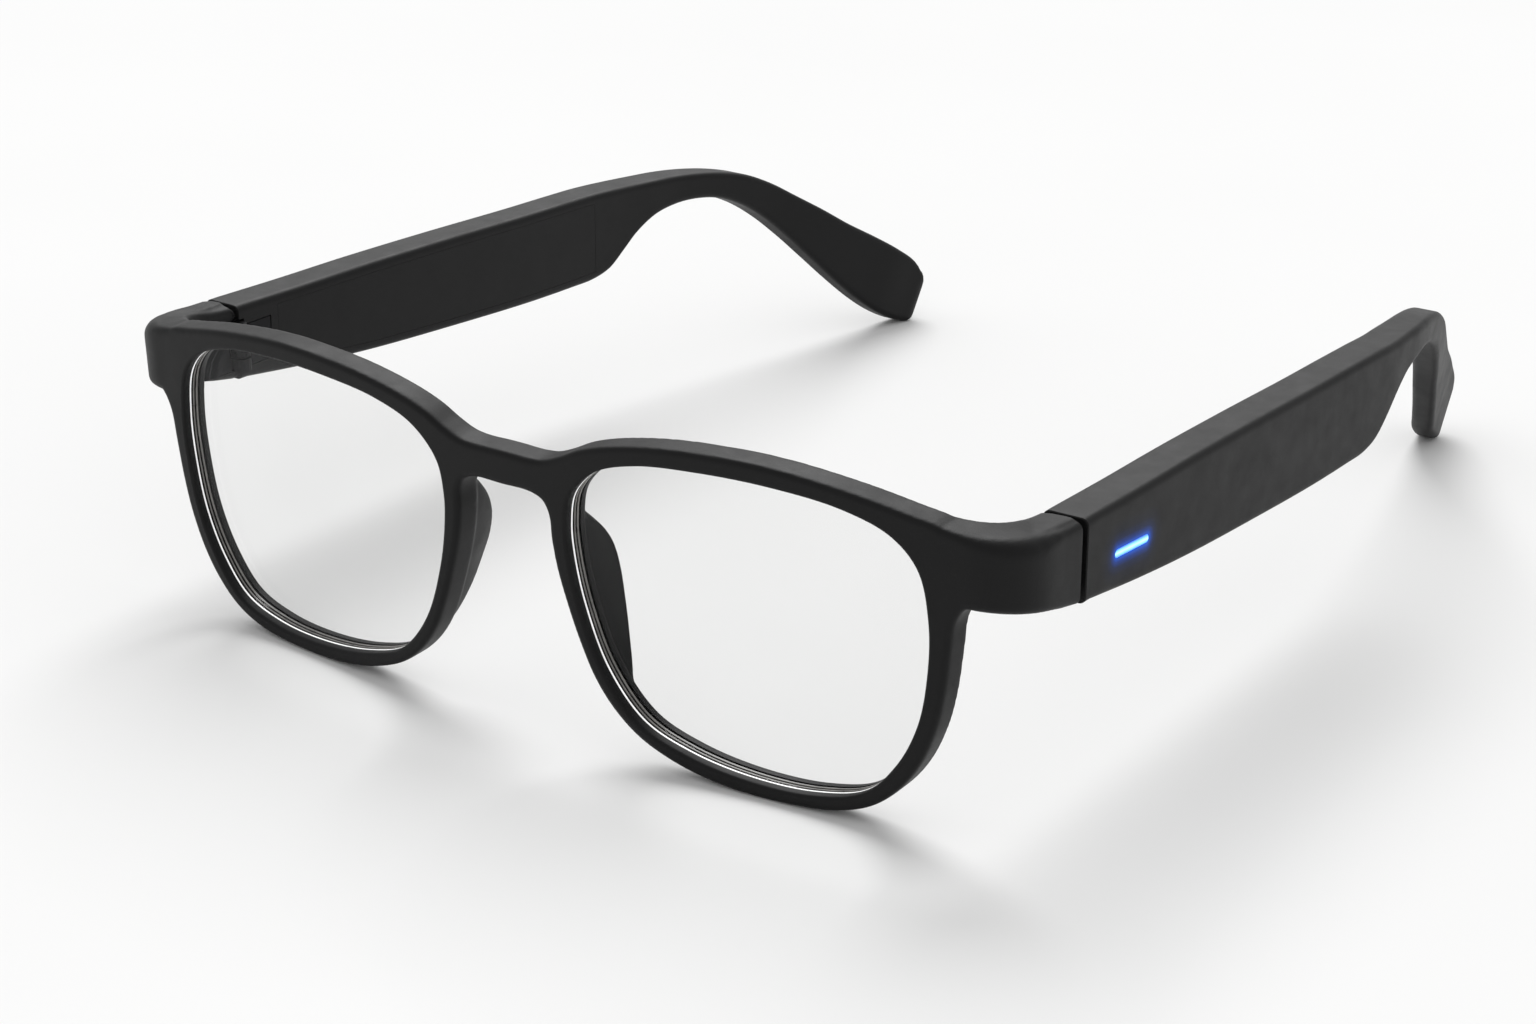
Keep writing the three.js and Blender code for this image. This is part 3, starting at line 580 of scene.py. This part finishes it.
def speckled(name, dark, light, scale, roughness):
    """Moulded or coated part with a fine two-tone speckle."""
    cells = {"kind": "ShaderNodeTexVoronoi", "Scale": scale}
    made, _, _ = textured(name, cells, [(0.2, dark), (0.8, light)],
                          [(0.0, roughness - 0.08), (1.0, roughness + 0.08)], (0.2, 0.00004))
    return made


def lit_bar(start, end):
    """Lit light guide: white-blue along its middle line, saturated blue at its rim."""
    made, nodes, links, shader = new_material("lit_bar")
    shader.inputs["Base Color"].default_value = (0.2, 0.5, 0.9, 1)
    shader.inputs["Roughness"].default_value = 0.3
    place = nodes.new("ShaderNodeTexCoord").outputs["Object"]
    along = (end - start).normalized()
    from_start = node(nodes, "ShaderNodeVectorMath", operation="SUBTRACT")
    from_start.inputs[1].default_value = start
    across = node(nodes, "ShaderNodeVectorMath", operation="DOT_PRODUCT")
    across.inputs[1].default_value = Vector((0, -along.z, along.y)).normalized()
    spread = node(nodes, "ShaderNodeMath", operation="ABSOLUTE")
    share = node(nodes, "ShaderNodeMapRange")
    share.inputs["From Max"].default_value = LIGHT["radius"] * MM
    flicker = node(nodes, "ShaderNodeTexNoise", Scale=700.0, Detail=2.0)
    wobble = node(nodes, "ShaderNodeMath", operation="MULTIPLY_ADD")
    wobble.inputs[1].default_value = 0.25
    tone = ramp(nodes, [(0.0, (0.62, 0.88, 1.0)), (0.35, (0.3, 0.66, 1.0)), (0.62, (0.1, 0.4, 1.0)),
                        (0.95, (0.004, 0.07, 0.7))])
    links.new(place, from_start.inputs[0])
    links.new(place, flicker.inputs["Vector"])
    links.new(from_start.outputs["Vector"], across.inputs[0])
    links.new(across.outputs["Value"], spread.inputs[0])
    links.new(spread.outputs[0], share.inputs["Value"])
    links.new(flicker.outputs["Fac"], wobble.inputs[0])
    links.new(share.outputs["Result"], wobble.inputs[2])
    links.new(wobble.outputs[0], tone.inputs["Fac"])
    links.new(tone.outputs["Color"], shader.inputs["Emission Color"])
    shader.inputs["Emission Strength"].default_value = 1.25
    return made


# ------------------------------------------------------------------ front
# Its pieces are made flat, as (across, up, behind the face), and bent to the face by on_front.
def front_top(u):
    """Height of the brow line, which runs on over the end piece, at a distance across."""
    line = catmull(FRONT_TOP + BROW_END, False, 200)
    return np.interp(u, line[:, 0], line[:, 1])


def rim_plate():
    """Both rims and the bridge as one rounded plate, in flat front coordinates."""
    half = catmull(FRONT_TOP + FRONT_SIDE, False, 420)
    other = half[1:-1][::-1] * [-1, 1]
    outline = anticlockwise(np.vstack([half, other]))
    edge = quarter(RIM_ROUND)
    levels = edge + [(RIM_DEPTH - t, d) for t, d in edge[::-1]]
    return loft("plate", [np.column_stack([inset(outline, d), np.full(len(outline), t)])
                          for t, d in levels])


def bezier(a, b, c, d, steps=14):
    """Points along a cubic curve from a to d, pulled towards b and c."""
    t = np.linspace(0, 1, steps + 1)[:, None]
    a, b, c, d = (np.array(p, float) for p in (a, b, c, d))
    return (1 - t) ** 3 * a + 3 * (1 - t) ** 2 * t * b + 3 * (1 - t) * t ** 2 * c + t ** 3 * d


def corner_plan():
    """Outline of an end piece from above: rim end, outer bend, hinge end and inner bend."""
    def face_y(x):
        return float(on_front(np.array(x), np.array(CORNER_MIDDLE), np.array(0.0))[1])

    inner = OUTER_X - TEMPLE_WIDTH
    beyond = SPLIT_Y + 3
    joins, starts = CORNER["joins"], CORNER["starts"]
    bend_from, bend_middle = CORNER["bend_from"], CORNER["bend_middle"]
    outer_y, outer_end = CORNER["outer_bend"]
    inner_end, inner_y = CORNER["inner_bend"]
    face = face_y(joins)
    rear = face + RIM_DEPTH
    plan = np.vstack([
        bezier((joins, rear), (starts, rear), (starts, face), (joins, face + 0.02)),
        bezier((bend_from, face_y(bend_from)), (bend_middle, face_y(bend_middle)),
               (OUTER_X, outer_y), (OUTER_X, outer_end)),
        bezier((OUTER_X, beyond), (OUTER_X, beyond + 4), (inner, beyond + 4), (inner, beyond)),
        bezier((inner, inner_end), (inner, inner_y),
               (CORNER["inner_from"], face_y(CORNER["inner_face"]) + RIM_DEPTH), (joins, rear)),
    ])
    return anticlockwise(resampled(plan, 180)[:-1])


def corner_rounding(plan):
    """Size of the top rounding: as small as the rim's beside it, widest on the outer bend."""
    x, y = plan.T
    outside = np.clip((x - y - 56) / 1.5, 0, 1)         # 1 along the outer edge, 0 along the inner
    bend = outside * np.clip((x - 61) / 7, 0, 1)
    bend *= np.clip((SPLIT_Y - 3 - y) / 6, 0, 1)        # back to 0 before the split
    return 0.65 + 0.35 * np.clip((x - 61) / 5, 0, 1) + 0.85 * bend ** 2


def corner_block():
    """End piece that turns the rim back to the hinge, in flat front coordinates."""
    plan = corner_plan()
    even = np.ones(len(plan))
    wide = corner_rounding(plan)
    edge = quarter(TEMPLE_ROUND, 5)
    lower = [(0, t, d, even) for t, d in edge] + [(0.5, 0, 0, even)]
    upper = [(1, -t, d, wide) for t, d in edge[::-1]]
    rows = []
    for share, rise, d, spread in lower + upper:
        flat = inset(plan, d * spread[:, None])
        x, y = flat.T
        bottom = CORNER["bottom"] - CORNER["drop"] * np.clip((y - 4) / (SPLIT_Y - 4), 0, 1.2)
        ease = np.clip((y - 7.5) / (SPLIT_Y - 7.5), 0, 1)
        ease = ease * ease * (3 - 2 * ease)
        top = front_top(x) * (1 - ease) + CORNER["top"] * ease
        height = bottom + (top - bottom) * share + rise * spread
        # Its front part leans with the rim, and its rear part stands upright like the temple.
        lean = np.clip((15 - y) / 9, 0, 1) * math.tan(FRONT_TILT)
        behind = y - on_front(x, CORNER_MIDDLE, 0.0)[:, 1]
        rows.append(np.column_stack([x, y - lean * (height - CORNER_MIDDLE),
                                     height + lean * behind]))
    return moved(loft("corner", rows), off_front)


def nose_pad():
    """Pad of one side, in flat front coordinates, with its root sunk in the rim."""
    rings = []
    for up, across, reach in catmull(PAD_ROWS, False, 40):
        root = min(RIM_DEPTH, reach) - PAD_ROOT
        tip = across + PAD_SPREAD * max(reach - root - PAD_ROOT, 0)
        ring = [[across + PAD_FOOT[0], root]]
        ring += [[tip + out, reach - short] for out, short in PAD_CROWN]
        ring += [[across + PAD_FOOT[1], root]]
        rings.append([(u, up, t) for u, t in catmull(ring, True, 30)])
    return loft("pad", rings)


def opening_cutter(side):
    """Fills a rim opening, with rounded lips and the groove for the lens."""
    front = LENS_SETBACK - GROOVE_PLAY
    rear = LENS_SETBACK + LENS_THICKNESS + GROOVE_PLAY
    beyond_pads = 14
    profile = [(-1.5, 1.6), (-0.2, 0.8), (0, 0.42), (0.06, 0.26), (0.18, 0.1), (0.42, 0),
               (front, 0), (front, GROOVE_DEPTH), (rear, GROOVE_DEPTH), (rear, 0),
               (RIM_DEPTH - 0.3, 0), (RIM_DEPTH - 0.1, 0.08), (RIM_DEPTH, 0.22),
               (RIM_DEPTH + 0.2, 0.22), (beyond_pads, 0.22)]
    rows = [np.column_stack([lens_outline(side, grow), np.full(LENS_POINTS, t)])
            for t, grow in profile]
    return loft("opening", rows)


def hinge_pocket(direction):
    """Room for a leaf let into an inner face, and for the barrel. Direction 1 is the temple's."""
    face = OUTER_X - TEMPLE_WIDTH
    far = SPLIT_Y + direction * HINGE["leaf_length"]
    near = SPLIT_Y - direction * 0.5
    leaf = box((face - 1, min(far, near), HINGE["bottom"] - HINGE["play"]),
               (face + HINGE["leaf_depth"], max(far, near), HINGE["top"] + HINGE["play"]))
    barrel = upright_bar(circle(HINGE["barrel_room"]), HINGES["fold_left"].x, SPLIT_Y,
                         [(HINGE["bottom"] - 0.15, 0), (HINGE["top"] + 1, 0)])
    return [leaf, barrel]


def chamfered(made, split):
    """Draws in the rim of the end pieces' rear faces by a small chamfer."""
    work = bmesh.new()
    work.from_mesh(made.data)
    bmesh.ops.bisect_plane(work, geom=work.verts[:] + work.edges[:] + work.faces[:],
                           plane_co=(0, split - FRONT_CHAMFER, 0), plane_no=(0, 1, 0))
    _, top, _, bottom, _ = TEMPLE_RUNGS[0]
    middle = (OUTER_X - TEMPLE_WIDTH / 2, (top + bottom) / 2)
    half = (TEMPLE_WIDTH / 2, (top - bottom) / 2)
    for vert in work.verts:
        share = (vert.co.y - split) / FRONT_CHAMFER + 1
        if share > 0:
            across = abs(vert.co.x) - middle[0]
            up = vert.co.z - middle[1]
            vert.co.x -= math.copysign(across / half[0] * FRONT_CHAMFER * share, vert.co.x)
            vert.co.z -= up / half[1] * FRONT_CHAMFER * share
    work.to_mesh(made.data)
    work.free()


def front_frame(material):
    """Both rims, bridge, nose pads and end pieces as one moulding."""
    left = corner_block()
    pad = nose_pad()
    parts = [rim_plate(), mirrored(left, "corner_right"), left, mirrored(pad, "pad_right"), pad]
    skin = merged_smooth(joined("front_frame_fine", parts), VOXEL, rounds=4)
    cut(skin, [opening_cutter(1), opening_cutter(-1)])
    moved(skin, lambda p: on_front(p[:, 0], p[:, 1], p[:, 2]))
    split = SPLIT_Y - SPLIT_GAP / 2
    pockets = hinge_pocket(-1)
    pockets += [mirrored(p, "pocket") for p in pockets]
    cut(skin, [box((-90, split, 0), (90, split + 20, 60))])
    # The chamfer comes before the pockets, which have to keep their full size.
    chamfered(skin, split)
    cut(skin, pockets)
    return finished(skin, material, "front", ["front_frame"])


def ring_row(side, share, extra, t):
    """Points round a lens at a share of its size, grown by extra, at a depth."""
    centre = LENS_CENTRE * [side, 1]
    flat = centre + (lens_outline(side, extra) - centre) * share
    return on_front(flat[:, 0], flat[:, 1], np.full(len(flat), t))


def lens(side, label, material):
    """Clear blank of a lens, which reaches into the groove."""
    rear = LENS_SETBACK + LENS_THICKNESS
    shares = [0.15, 0.35, 0.55, 0.75, 0.9]
    rings = [(share, 0, LENS_SETBACK) for share in shares]
    rings += [(1, LENS_EDGE - LENS_BEVEL, LENS_SETBACK), (1, LENS_EDGE, LENS_SETBACK + LENS_BEVEL),
              (1, LENS_EDGE, rear - LENS_BEVEL), (1, LENS_EDGE - LENS_BEVEL, rear)]
    rings += [(share, 0, rear) for share in shares[::-1]]
    made = loft(f"lens_{label}_fine", [ring_row(side, *ring) for ring in rings])
    return finished(made, material, "front", [f"lens_{label}"], sharp=24)


def lens_band(name, side, section, material):
    """Closed ring round a lens, from a section of (reach beyond the opening, depth)."""
    rows = np.array([ring_row(side, 1, extra, t) for extra, t in section])
    count, around = rows.shape[:2]
    faces = []
    for r in range(count):
        for i in range(around):
            ahead, below = (i + 1) % around, (r + 1) % count
            faces.append((r * around + i, r * around + ahead,
                          below * around + ahead, below * around + i))
    made = mesh_object(name, rows.reshape(-1, 3), faces)
    return finished(made, material, "front", sharp=24)


def lens_edges(side, label, ground_with_painted_glow, painted_highlight_bevel):
    """Rings where the rim grips the lens: a front one that is a painted highlight on the bevel, then ground ones
    with a painted glow.
    """
    for name, (start, width) in LENS_RINGS.items():
        start += LENS_SETBACK
        end = start + width
        section = [(0, start), (RING_REACH, start), (RING_REACH, end), (0, end)]
        lens_band(f"lens_ring_{name}_{label}", side, section,
                  painted_highlight_bevel if name == "front" else ground_with_painted_glow)


# ------------------------------------------------------------------ temples
def temple_place(side):
    """Takes points from inside a left temple to design places on the given side."""
    turn = Matrix.Rotation(TEMPLE_TOE_IN, 3, "Z")
    spin = np.array(turn)

    def place(p):
        out = p @ spin.T + [OUTER_X - TEMPLE_WIDTH / 2, SPLIT_Y, 0]
        return out * [side, 1, 1]
    return place


def rung_rows():
    """A temple's sections from the split to the tip: middle, upward reach and width."""
    fine = catmull(TEMPLE_RUNGS, False, 160)
    fine = fine[fine[:, 0] > SPLIT_GAP / 2 + 0.6]
    first = fine[0] - [fine[0, 0] - SPLIT_GAP / 2 - SPLIT_CHAMFER, 0,
                       fine[0, 2] - SPLIT_GAP / 2 - SPLIT_CHAMFER, 0, 0]
    fine = np.vstack([first, fine[:-2]])
    rows = []
    for top_y, top_z, low_y, low_z, bend in fine:
        taper = min(max((top_y - TAPER_START) / TAPER_LENGTH, 0), 1)
        width = TEMPLE_WIDTH + (TIP_WIDTH - TEMPLE_WIDTH) * taper ** 2 * (3 - 2 * taper)
        rows.append((np.array([-bend, (top_y + low_y) / 2, (top_z + low_z) / 2]),
                     np.array([0, top_y - low_y, top_z - low_z]), width))
    return rows


def rung_ring(middle, along, width, shrink=1.0, less=0.0):
    """One section with rounded edges, shrunk about its middle or drawn in by less."""
    corner = TEMPLE_ROUND - less
    width = width - 2 * less
    half = np.linalg.norm(along) / 2 - less
    upward = along / np.linalg.norm(along)
    ring = []
    for sx, sz, start in ((1, 1, 0), (-1, 1, 90), (-1, -1, 180), (1, -1, 270)):
        turns = np.radians(start + np.linspace(0, 90, 7))
        arc = np.stack([np.cos(turns), np.sin(turns)], 1) * corner
        lead = [np.sin(turns[0]), -np.cos(turns[0])]
        trail = [-np.sin(turns[-1]), np.cos(turns[-1])]
        arc = np.vstack([arc[0] + np.multiply(lead, EDGE_LOOP), arc,
                         arc[-1] + np.multiply(trail, EDGE_LOOP)])
        for x, z in arc + [sx * (width / 2 - corner), sz * (half - corner)]:
            ring.append(middle + np.array([x * shrink, 0, 0]) + upward * z * shrink)
    return ring


def temple_blank():
    """Solid temple with its ear hook, before anything is cut out of it."""
    rows = rung_rows()
    middle, along, width = rows[0]
    rings = [rung_ring(middle - [0, SPLIT_CHAMFER, 0], along, width, less=SPLIT_CHAMFER)]
    rings += [rung_ring(*row) for row in rows]
    middle, along, width = rows[-1]
    ahead = middle - rows[-2][0]
    ahead /= np.linalg.norm(ahead)
    rings += [rung_ring(middle + ahead * past, along, width, share) for past, share in HOOK_END]
    return loft("temple", rings)


def side_panel(margin, start, end, x_low, x_high):
    """Plate that follows a temple's outline, set in from its edges."""
    rungs = np.array(TEMPLE_RUNGS, float)
    y = np.linspace(start, end, 40)
    top = np.interp(y, rungs[:, 0], rungs[:, 1]) - margin
    low = np.interp(y, rungs[:, 2], rungs[:, 3]) + margin
    flat = np.vstack([np.column_stack([y, low]), np.column_stack([y, top])[::-1]])
    return loft("panel", [np.column_stack([np.full(len(flat), x), flat])
                          for x in (x_low, x_high)])


def underside(y):
    """Height of a temple's bottom edge at a distance back from the split."""
    rungs = np.array(TEMPLE_RUNGS, float)
    return float(np.interp(y, rungs[:, 2], rungs[:, 3]))


def temple_cutters(has_controls):
    """Everything that is cut out of a temple. Only the left one has the button and the light."""
    inner, outer = -TEMPLE_WIDTH / 2, TEMPLE_WIDTH / 2
    step = inner + COVER_THICKNESS + 0.1
    cutters = [
        side_panel(COVER_INSET, PANEL[0], PANEL[1], inner - 1, step),
        side_panel(CAVITY_INSET, PANEL[0] + 0.8, PANEL[1] - 0.8, step - 0.5, outer - WALL),
        upright_bar(pill(GRILLE["length"] + 0.12, GRILLE["width"] + 0.12), 0,
                    GRILLE["middle"], [(BELOW, 0), (27, 0)]),
        upright_bar(circle(MIC_HOLE), 0, MIC_Y, [(BELOW, 0), (28.5, 0)]),
    ]
    cutters += [upright_bar(circle(CONTACT_HOLE), 0, y, [(BELOW, 0), (28, 0)])
                for y in CONTACTS]
    if has_controls:
        lip = BUTTON["flange"] + 0.3
        cutters += [
            upright_bar(pill(BUTTON["length"] + 0.3, BUTTON["width"] + 0.3), 0,
                        BUTTON["middle"], [(BELOW, 0), (28, 0)]),
            upright_bar(pill(BUTTON["length"] + lip, BUTTON["width"] + lip), 0,
                        BUTTON["middle"], [(underside(BUTTON["middle"]) + 1.35, 0), (28.6, 0)]),
            light_shape(0.04, [(0, 0), (outer + 1, 0)]),
        ]
    return cutters


def light_shape(extra, levels):
    """The light guide's bar, grown by extra, at (x, inset) levels."""
    length = math.hypot(LIGHT["to"] - LIGHT["from"], LIGHT["z_to"] - LIGHT["z_from"])
    tilt = math.atan2(LIGHT["z_to"] - LIGHT["z_from"], LIGHT["to"] - LIGHT["from"])
    outline = pill(length + 2 * extra, 2 * (LIGHT["radius"] + extra))
    return across_bar(anticlockwise(outline), (LIGHT["from"] + LIGHT["to"]) / 2,
                      (LIGHT["z_from"] + LIGHT["z_to"]) / 2, tilt, levels)


def on_temple(made, side, label, piece, material):
    """Takes a piece made as the left temple's to its side, in place of its CAD node."""
    if side < 0:
        made.data.flip_normals()
    moved(made, temple_place(side))
    made.name = f"{piece}_{label}_fine"
    return finished(made, material, f"temple_{label}", [f"{piece}_{label}"],
                    weighted=True)


def temple_housing(side, label, material):
    """Outer shell of a temple with its ear hook."""
    made = cut(temple_blank(), temple_cutters(side > 0))
    cut(made, [moved(pocket, lambda p: p - [OUTER_X - TEMPLE_WIDTH / 2, SPLIT_Y, 0])
               for pocket in hinge_pocket(1)])
    return on_temple(made, side, label, "temple_housing", material)


def temple_cover(side, label, material):
    """Plate that closes a temple from the inside."""
    inner = -TEMPLE_WIDTH / 2
    made = side_panel(COVER_INSET + SEAM, PANEL[0] + SEAM, PANEL[1] - SEAM,
                      inner, inner + COVER_THICKNESS)
    soften = made.modifiers.new("edge", "BEVEL")
    soften.width = 0.06
    soften.segments = 2
    soften.limit_method = "ANGLE"
    return on_temple(applied(made), side, label, "temple_inner_cover", material)


def light_bar(material):
    """Light guide in the left temple's outer face, a hair below its surface."""
    outer = TEMPLE_WIDTH / 2
    made = light_shape(0, [(outer - WALL + 0.1, 0), (outer - 0.08, 0), (outer - 0.02, 0.06)])
    moved(made, temple_place(1))
    made.name = "light_bar_left_fine"
    return finished(made, material, "temple_left", ["light_bar_left"])


def light_ends():
    """Ends of the light bar's middle line on the outer face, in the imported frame, metres."""
    outer = TEMPLE_WIDTH / 2
    r = LIGHT["radius"]
    ends = np.array([[outer, LIGHT["from"] + r, LIGHT["z_from"]],
                     [outer, LIGHT["to"] - r, LIGHT["z_to"]]])
    return [Vector(p) for p in (temple_place(1)(ends) + SHIFT) * MM]


# ------------------------------------------------------------------ stage
def camera():
    """Camera in front of the wearer's left side and a little above."""
    azimuth, elevation, roll = (math.radians(CAMERA[k]) for k in ("azimuth", "elevation", "roll"))
    back = np.array([math.sin(azimuth) * math.cos(elevation),
                     -math.cos(azimuth) * math.cos(elevation), math.sin(elevation)])
    right = np.cross([0, 0, 1], back)
    right /= np.linalg.norm(right)
    up = np.cross(back, right)
    right, up = (math.cos(roll) * right + math.sin(roll) * up,
                 -math.sin(roll) * right + math.cos(roll) * up)
    place = (CAMERA["right"] * right + CAMERA["up"] * up + CAMERA["back"] * back
             + [0, 0, CAMERA["pivot_z"]] + SHIFT) * MM
    data = bpy.data.cameras.new("camera")
    data.sensor_width = 36
    data.lens = CAMERA["lens"]
    data.clip_start, data.clip_end = 0.01, 20
    made = bpy.data.objects.new("camera", data)
    made.matrix_world = Matrix([[*row, place[k]] for k, row in
                                enumerate(np.column_stack([right, up, back]))] + [[0, 0, 0, 1]])
    bpy.context.scene.collection.objects.link(made)
    bpy.context.scene.camera = made


def floor():
    """Pale plain floor, a hair below the tips and rims."""
    made, nodes, links, shader = new_material("pale_floor")
    place = nodes.new("ShaderNodeTexCoord").outputs["Object"]
    cloud = node(nodes, "ShaderNodeTexNoise", Scale=6.0, Detail=3.0)
    tone = ramp(nodes, [(0.3, (0.812, 0.812, 0.81)), (0.7, (0.828, 0.828, 0.826))])
    links.new(place, cloud.inputs["Vector"])
    links.new(cloud.outputs["Fac"], tone.inputs["Fac"])
    links.new(tone.outputs["Color"], shader.inputs["Base Color"])
    shader.inputs["Roughness"].default_value = 0.7
    shader.inputs["Specular IOR Level"].default_value = 0
    s = FLOOR_SIZE
    plane = mesh_object("floor", [(-s, -s, 0), (s, -s, 0), (s, s, 0), (-s, s, 0)], [(0, 1, 2, 3)])
    plane.location.z = -FLOOR_GAP
    plane.data.materials.append(made)


def lights():
    """White room, and one wide soft light from high behind the right temple."""
    world = bpy.data.worlds.new("studio")
    world.use_nodes = True
    world.node_tree.nodes["Background"].inputs["Color"].default_value = (1, 1, 1, 1)
    world.node_tree.nodes["Background"].inputs["Strength"].default_value = WORLD_STRENGTH
    bpy.context.scene.world = world
    data = bpy.data.lights.new("key", "SUN")
    data.energy = KEY["energy"]
    data.angle = math.radians(KEY["spread"])
    made = bpy.data.objects.new("key", data)
    made.rotation_euler = Vector(KEY["towards"]).to_track_quat("-Z", "Y").to_euler()
    bpy.context.scene.collection.objects.link(made)


def main():
    """Makes the fine pieces, dresses the CAD pieces that still show, and sets the stage."""
    bpy.context.scene.view_settings.view_transform = "Standard"
    plain = matte_black("matte_black")
    lit = matte_black("matte_black_by_light", light_ends())
    front_frame(plain)
    glass = clear_lens()
    # Lens edge rings: ground grey with a painted glow, and a near-white bevel ring that is a painted highlight.
    ground_with_painted_glow = lens_edge_look("ground_edge_painted_glow", (0.08, 0.077, 0.073), (0.13, 0.125, 0.117), 0.5)
    painted_highlight_bevel = lens_edge_look("bevel_painted_highlight", (0.72, 0.72, 0.72), (0.85, 0.85, 0.85), 0.7)
    for side, label, material in ((1, "left", lit), (-1, "right", plain)):
        lens(side, label, glass)
        lens_edges(side, label, ground_with_painted_glow, painted_highlight_bevel)
        temple_housing(side, label, material)
        temple_cover(side, label, plain)
    light_bar(lit_bar(*light_ends()))

    steel = metal("hinge_steel", (0.02, 0.02, 0.021), 0.45, 0.58, (1, 1, 12))
    gold = metal("contact_gold", (0.83, 0.62, 0.25), 0.2, 0.32, (1, 1, 1))
    foil = metal("battery_foil", (0.66, 0.67, 0.69), 0.3, 0.5, (1, 8, 1))
    board = speckled("solder_mask", (0.012, 0.075, 0.035), (0.03, 0.14, 0.07), 900, 0.45)
    moulded = speckled("component_black", (0.015, 0.015, 0.016), (0.03, 0.03, 0.032), 1500, 0.5)
    sheath = speckled("cable_sheath", (0.16, 0.05, 0.02), (0.24, 0.09, 0.04), 1800, 0.55)
    by_slot = {"hinge_steel": steel, "contact_gold": gold, "battery_foil": foil,
               "circuit_board": board, "component_black": moulded, "cable_sheath": sheath,
               "frame_plastic": plain, "light_blue": moulded}
    for part in frame["record"]["subparts"]:
        shown = frame["nodes"][part["node"]]
        if not shown.hide_render:
            shown.data.materials.clear()
            shown.data.materials.append(by_slot[part["material_slot"]])

    camera()
    floor()
    lights()


main()
